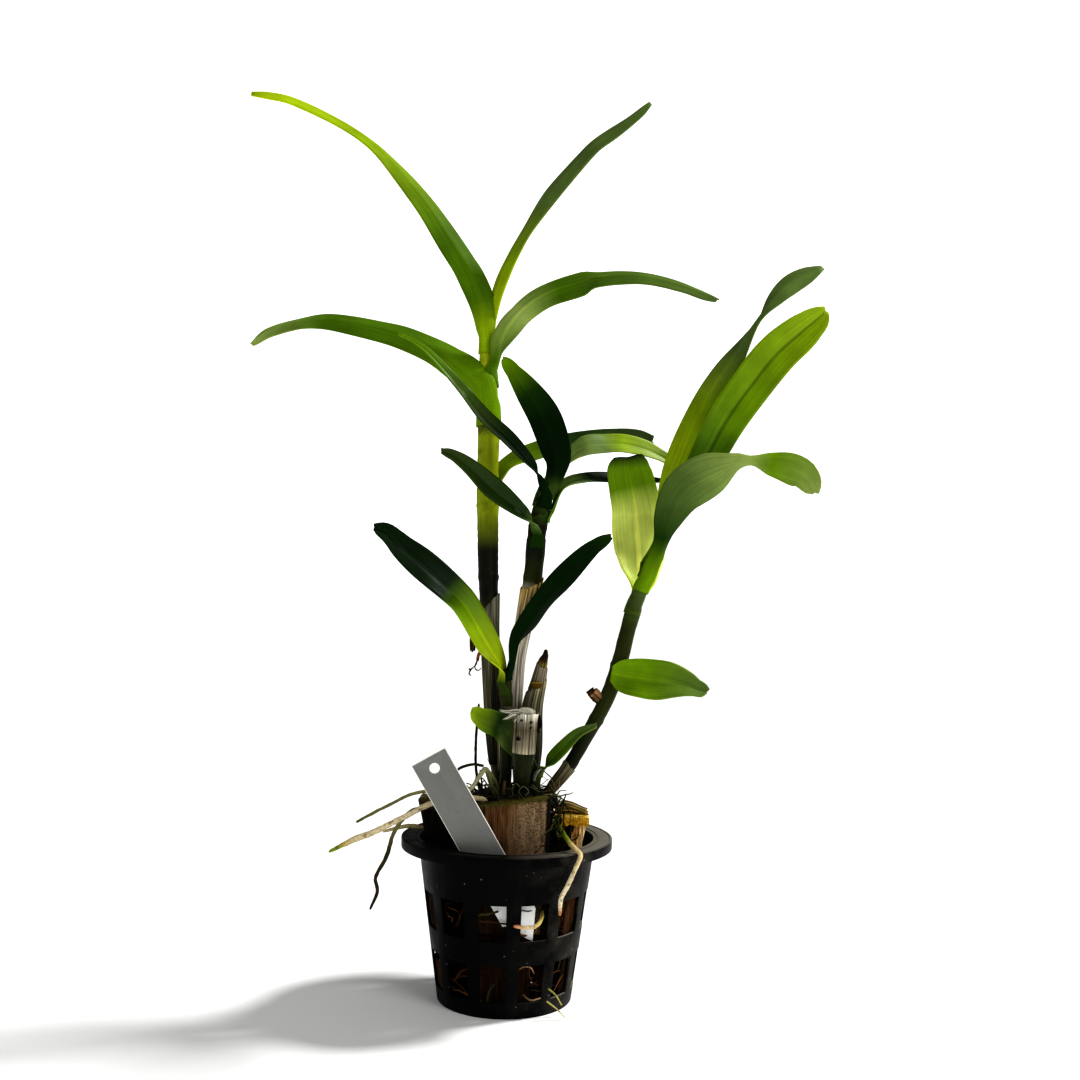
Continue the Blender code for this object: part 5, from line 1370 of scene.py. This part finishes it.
def addFlap(shape, points, widths, facing, tones, seed, curl=30, across=6, rows=14, frayed=0.5):
    # papery scrap along points; facing turns it as a leaf's blade is turned
    tone = shape.verts.layers.float_color["tone"]
    made = bmesh.ops.create_grid(shape, x_segments=across, y_segments=rows, size=1, calc_uvs=True)
    path = smoothRows([(*p, w, facing) for p, w in zip(points, widths)], rows + 1)
    scaleUv(shape, {face for vert in made["verts"] for face in vert.link_faces}, max(widths), rows)
    for vert in made["verts"]:
        u, i = vert.co.x, round((vert.co.y + 1) / 2 * rows)
        row, ahead = (path[i], path[i + 1]) if i < rows else (path[i - 1], path[i])
        along, across_, upper = bladeFrame(row, ahead, 1)
        row = path[i]
        arc = math.radians(curl)
        radius = row[3] / 2 / arc
        place = Vector(row[:3]) + across_ * radius * math.sin(u * arc) \
            + upper * radius * (1 - math.cos(u * arc))
        place += along * frayed * (i / rows) ** 3 * noise.noise(Vector((u * 2.7, seed, 0.3))) * 4
        vert.co = place
        shade = 1 + 0.3 * noise.noise(Vector((u * 3, i * 0.3, seed)))
        vert[tone] = (*[c * shade for c in toneAt(tones, i / rows)], 1)


flaps = {
    "bract_tall": [([(-14.5, 3, 193), (-18, 1.5, 191.5), (-19.6, 0.5, 187), (-19.9, 0, 180)],
                    (3.0, 4.2, 3.8, 2.6), 10, [(0, "3a3218"), (0.5, "6f5c34"), (1, "4a3c20")])],
    "bract_shoot": [([(13.5, -12.4, 114.5), (14.4, -13.2, 118.5), (17.2, -13.4, 121.5)],
                     (1.4, 2.2, 1.0), 0, [(0, "8a8a74"), (1, "a8aa94")]),
                    ([(16, -12.6, 117), (18, -13.2, 120.5), (19.6, -13.2, 121.6)],
                     (1.0, 1.4, 0.6), 20, [(0, "7a7c64"), (1, "989c84")])],
    "torn_skin": [([(9, -21, 149), (5, -20, 151), (0.5, -18, 150.6), (-4.5, -16.5, 151)],
                   (3.4, 4.4, 3.0, 1.2), 30, [(0, "cfc9b8"), (1, "dcd8ca")]),
                  ([(7, -21, 148.6), (3.2, -20, 149.4), (0, -18.6, 147.6), (-2.6, -17.6, 146.6)],
                   (3.2, 3.2, 2.0, 0.8), -10, [(0, "bdb6a2"), (1, "d4cfbf")]),
                  ([(7.6, -21.4, 148), (5.2, -20.8, 147.6), (3, -20, 145.6)],
                   (2.6, 2.6, 1.0), 0, [(0, "d2cbb8"), (1, "c4bca6")]),
                  ([(5, -15, 151.5), (1, -12.5, 152), (-2.5, -9.8, 152.2)],
                   (3.0, 3.4, 2.0), 40, [(0, "8a8474"), (1, "6a6048")]),
                  ([(12, -20.8, 147.5), (10.8, -21.8, 150), (8.4, -20.5, 151.4)],
                   (3.0, 4.0, 3.0), 0, [(0, "cfc8b2"), (1, "e2ddcc")])],
    "straw_tall": [([(-5.2, -2, 118), (-5.0, -2.6, 126), (-5.4, -2.2, 134), (-5.9, -1.6, 138.5)],
                    (0.8, 1.5, 1.3, 0.6), 20, [(0, "8a8468"), (0.6, "cfc7a4"), (1, "a8a080")])],
    "tip_middle": [([(9.4, -1, 211), (10, -1.6, 215.5), (11.4, -1.9, 219.6)],
                    (3.4, 3.8, 2.2), 10, [(0, "8a7c50"), (0.8, "c49a54"), (1, "e8c890")]),
                   ([(13.6, 0, 209), (14.4, -0.6, 214), (14.8, -0.6, 218.6)],
                    (3.4, 3.2, 1.2), -20, [(0, "77705c"), (1, "8f8a6c")])],
}
for name, parts in flaps.items():
    shape = newShape()
    for seed, (points, widths, facing, tones) in enumerate(parts):
        addFlap(shape, points, widths, facing, tones, seed + len(name))
    finishSheath(name, shape, thick=0.25)

# pale threads over the crown
threads = [[(14.5, -14, 119), (19, -15, 117), (24, -14, 110)], [(22, -12, 117), (27, -11, 107),
           (29.5, -12, 102)], [(27, -9, 115), (26.6, -12, 108), (29, -14, 103.6)],
           [(12, -20, 113), (17, -21, 110.6), (22, -20, 111.6)], [(24, -10, 111), (27.5, -14, 104),
           (31, -16, 99.8)], [(-11, -10, 126), (-7, -12, 118), (-4.5, -13, 109)]]
shape = newShape()
for points in threads:
    strand(shape, points, (0.16, 0.12), [(0, "b8a878"), (1, "d8cca0")], sides=4, step=1.5)
finishPiece("pale_threads", shape, [drySheath])


def rhizomeBark():
    # old orchid rhizome: thin dead bark over wood, matt, nearly black and scaly
    material, tree, shader = newMaterial("rhizomeBark", 0.88, 1.45)
    place = addNode(tree, "TexCoord")
    scales = addNode(tree, "TexVoronoi", {"Vector": place.outputs["Object"], "Scale": 420.0})
    moss = addNode(tree, "TexNoise", {"Vector": place.outputs["Object"], "Scale": 260.0,
                                      "Detail": 5.0, "Roughness": 0.7})
    share = addNode(tree, "MapRange", {"Value": moss.outputs["Fac"], "From Min": 0.42,
                                       "From Max": 0.66})
    colour = addNode(tree, "Mix", {0: share.outputs[0], 6: (*linear("0e0d08"), 1),
                                   7: (*linear("34381a"), 1)}, data_type="RGBA")
    tree.links.new(colour.outputs[2], shader.inputs["Base Color"])
    bump = addNode(tree, "Bump", {"Height": scales.outputs["Distance"], "Strength": 0.8,
                                  "Distance": 0.0006})
    tree.links.new(bump.outputs["Normal"], shader.inputs["Normal"])
    return material


nodes["rhizome"].data.materials.clear()
nodes["rhizome"].data.materials.append(rhizomeBark())
print("dry parts done")


# ---- floor, lights and camera

def addFloor():
    shape = bmesh.new()
    bmesh.ops.create_circle(shape, cap_ends=True, segments=96, radius=60)
    mesh = bpy.data.meshes.new("floor")
    shape.to_mesh(mesh)
    shape.free()
    material, _, shader = newMaterial("paleFloor", 0.95)
    shader.inputs["Base Color"].default_value = (*linear("f2f2f0"), 1)
    mesh.materials.append(material)
    floor = bpy.data.objects.new("floor", mesh)
    bpy.context.scene.collection.objects.link(floor)


def addLight(name, kind, place, target, size, power, colour):
    data = bpy.data.lights.new(name, kind)
    data.energy = power
    data.color = linear(colour)
    if kind == "SUN":
        data.angle = math.radians(size)
    else:
        data.shape = "DISK"
        data.size = size
    light = bpy.data.objects.new(name, data)
    light.location = place
    aim = Vector(target) - Vector(place)
    light.rotation_euler = aim.to_track_quat("-Z", "Y").to_euler()
    bpy.context.scene.collection.objects.link(light)


camera = {"place": (14.8, -629.0, 216.0), "lens": 40.0, "shiftUp": 44 / 1080, "roll": 1.09}
studio = {"aim": (0.01, 0, 0.24), "world": 0.26, "backdrop": 1.0,
          # name: kind, place in metres, size (degrees for the sun), power, colour
          "lights": {"keyLight": ("SUN", (0.85, 0.3, 1.2), 10, 2.6, "ffffff"),
                     "frontLight": ("AREA", (0.95, -1.0, 0.85), 0.7, 6, "ffffff"),
                     "fillLight": ("AREA", (-1.1, -0.6, 0.8), 0.9, 1.6, "f6faff")}}
addFloor()
for name, (kind, place, size, power, colour) in studio["lights"].items():
    addLight(name, kind, place, studio["aim"], size, power, colour)
world = bpy.data.worlds.new("studio")
bpy.context.scene.world = world
world.use_nodes = True
sky = world.node_tree.nodes["Background"]
sky.inputs["Color"].default_value = (1, 1, 1, 1)
ray = addNode(world.node_tree, "LightPath")
glow = addNode(world.node_tree, "MapRange", {"Value": ray.outputs["Is Camera Ray"],
                                             "To Min": studio["world"],
                                             "To Max": studio["backdrop"]})
world.node_tree.links.new(glow.outputs[0], sky.inputs["Strength"])
bpy.context.scene.view_settings.view_transform = "Standard"
bpy.context.scene.view_settings.look = "High Contrast"

view = bpy.data.cameras.new("camera")
view.lens = camera["lens"]
view.sensor_width = 36
view.shift_y = camera["shiftUp"]
view.clip_start = 0.01
eye = bpy.data.objects.new("camera", view)
eye.location = Vector(camera["place"]) * mm
eye.rotation_euler = (Matrix.Rotation(math.pi / 2, 3, "X")
                      @ Matrix.Rotation(math.radians(camera["roll"]), 3, "Z")).to_euler()
bpy.context.scene.collection.objects.link(eye)
bpy.context.scene.camera = eye
print("stage done")
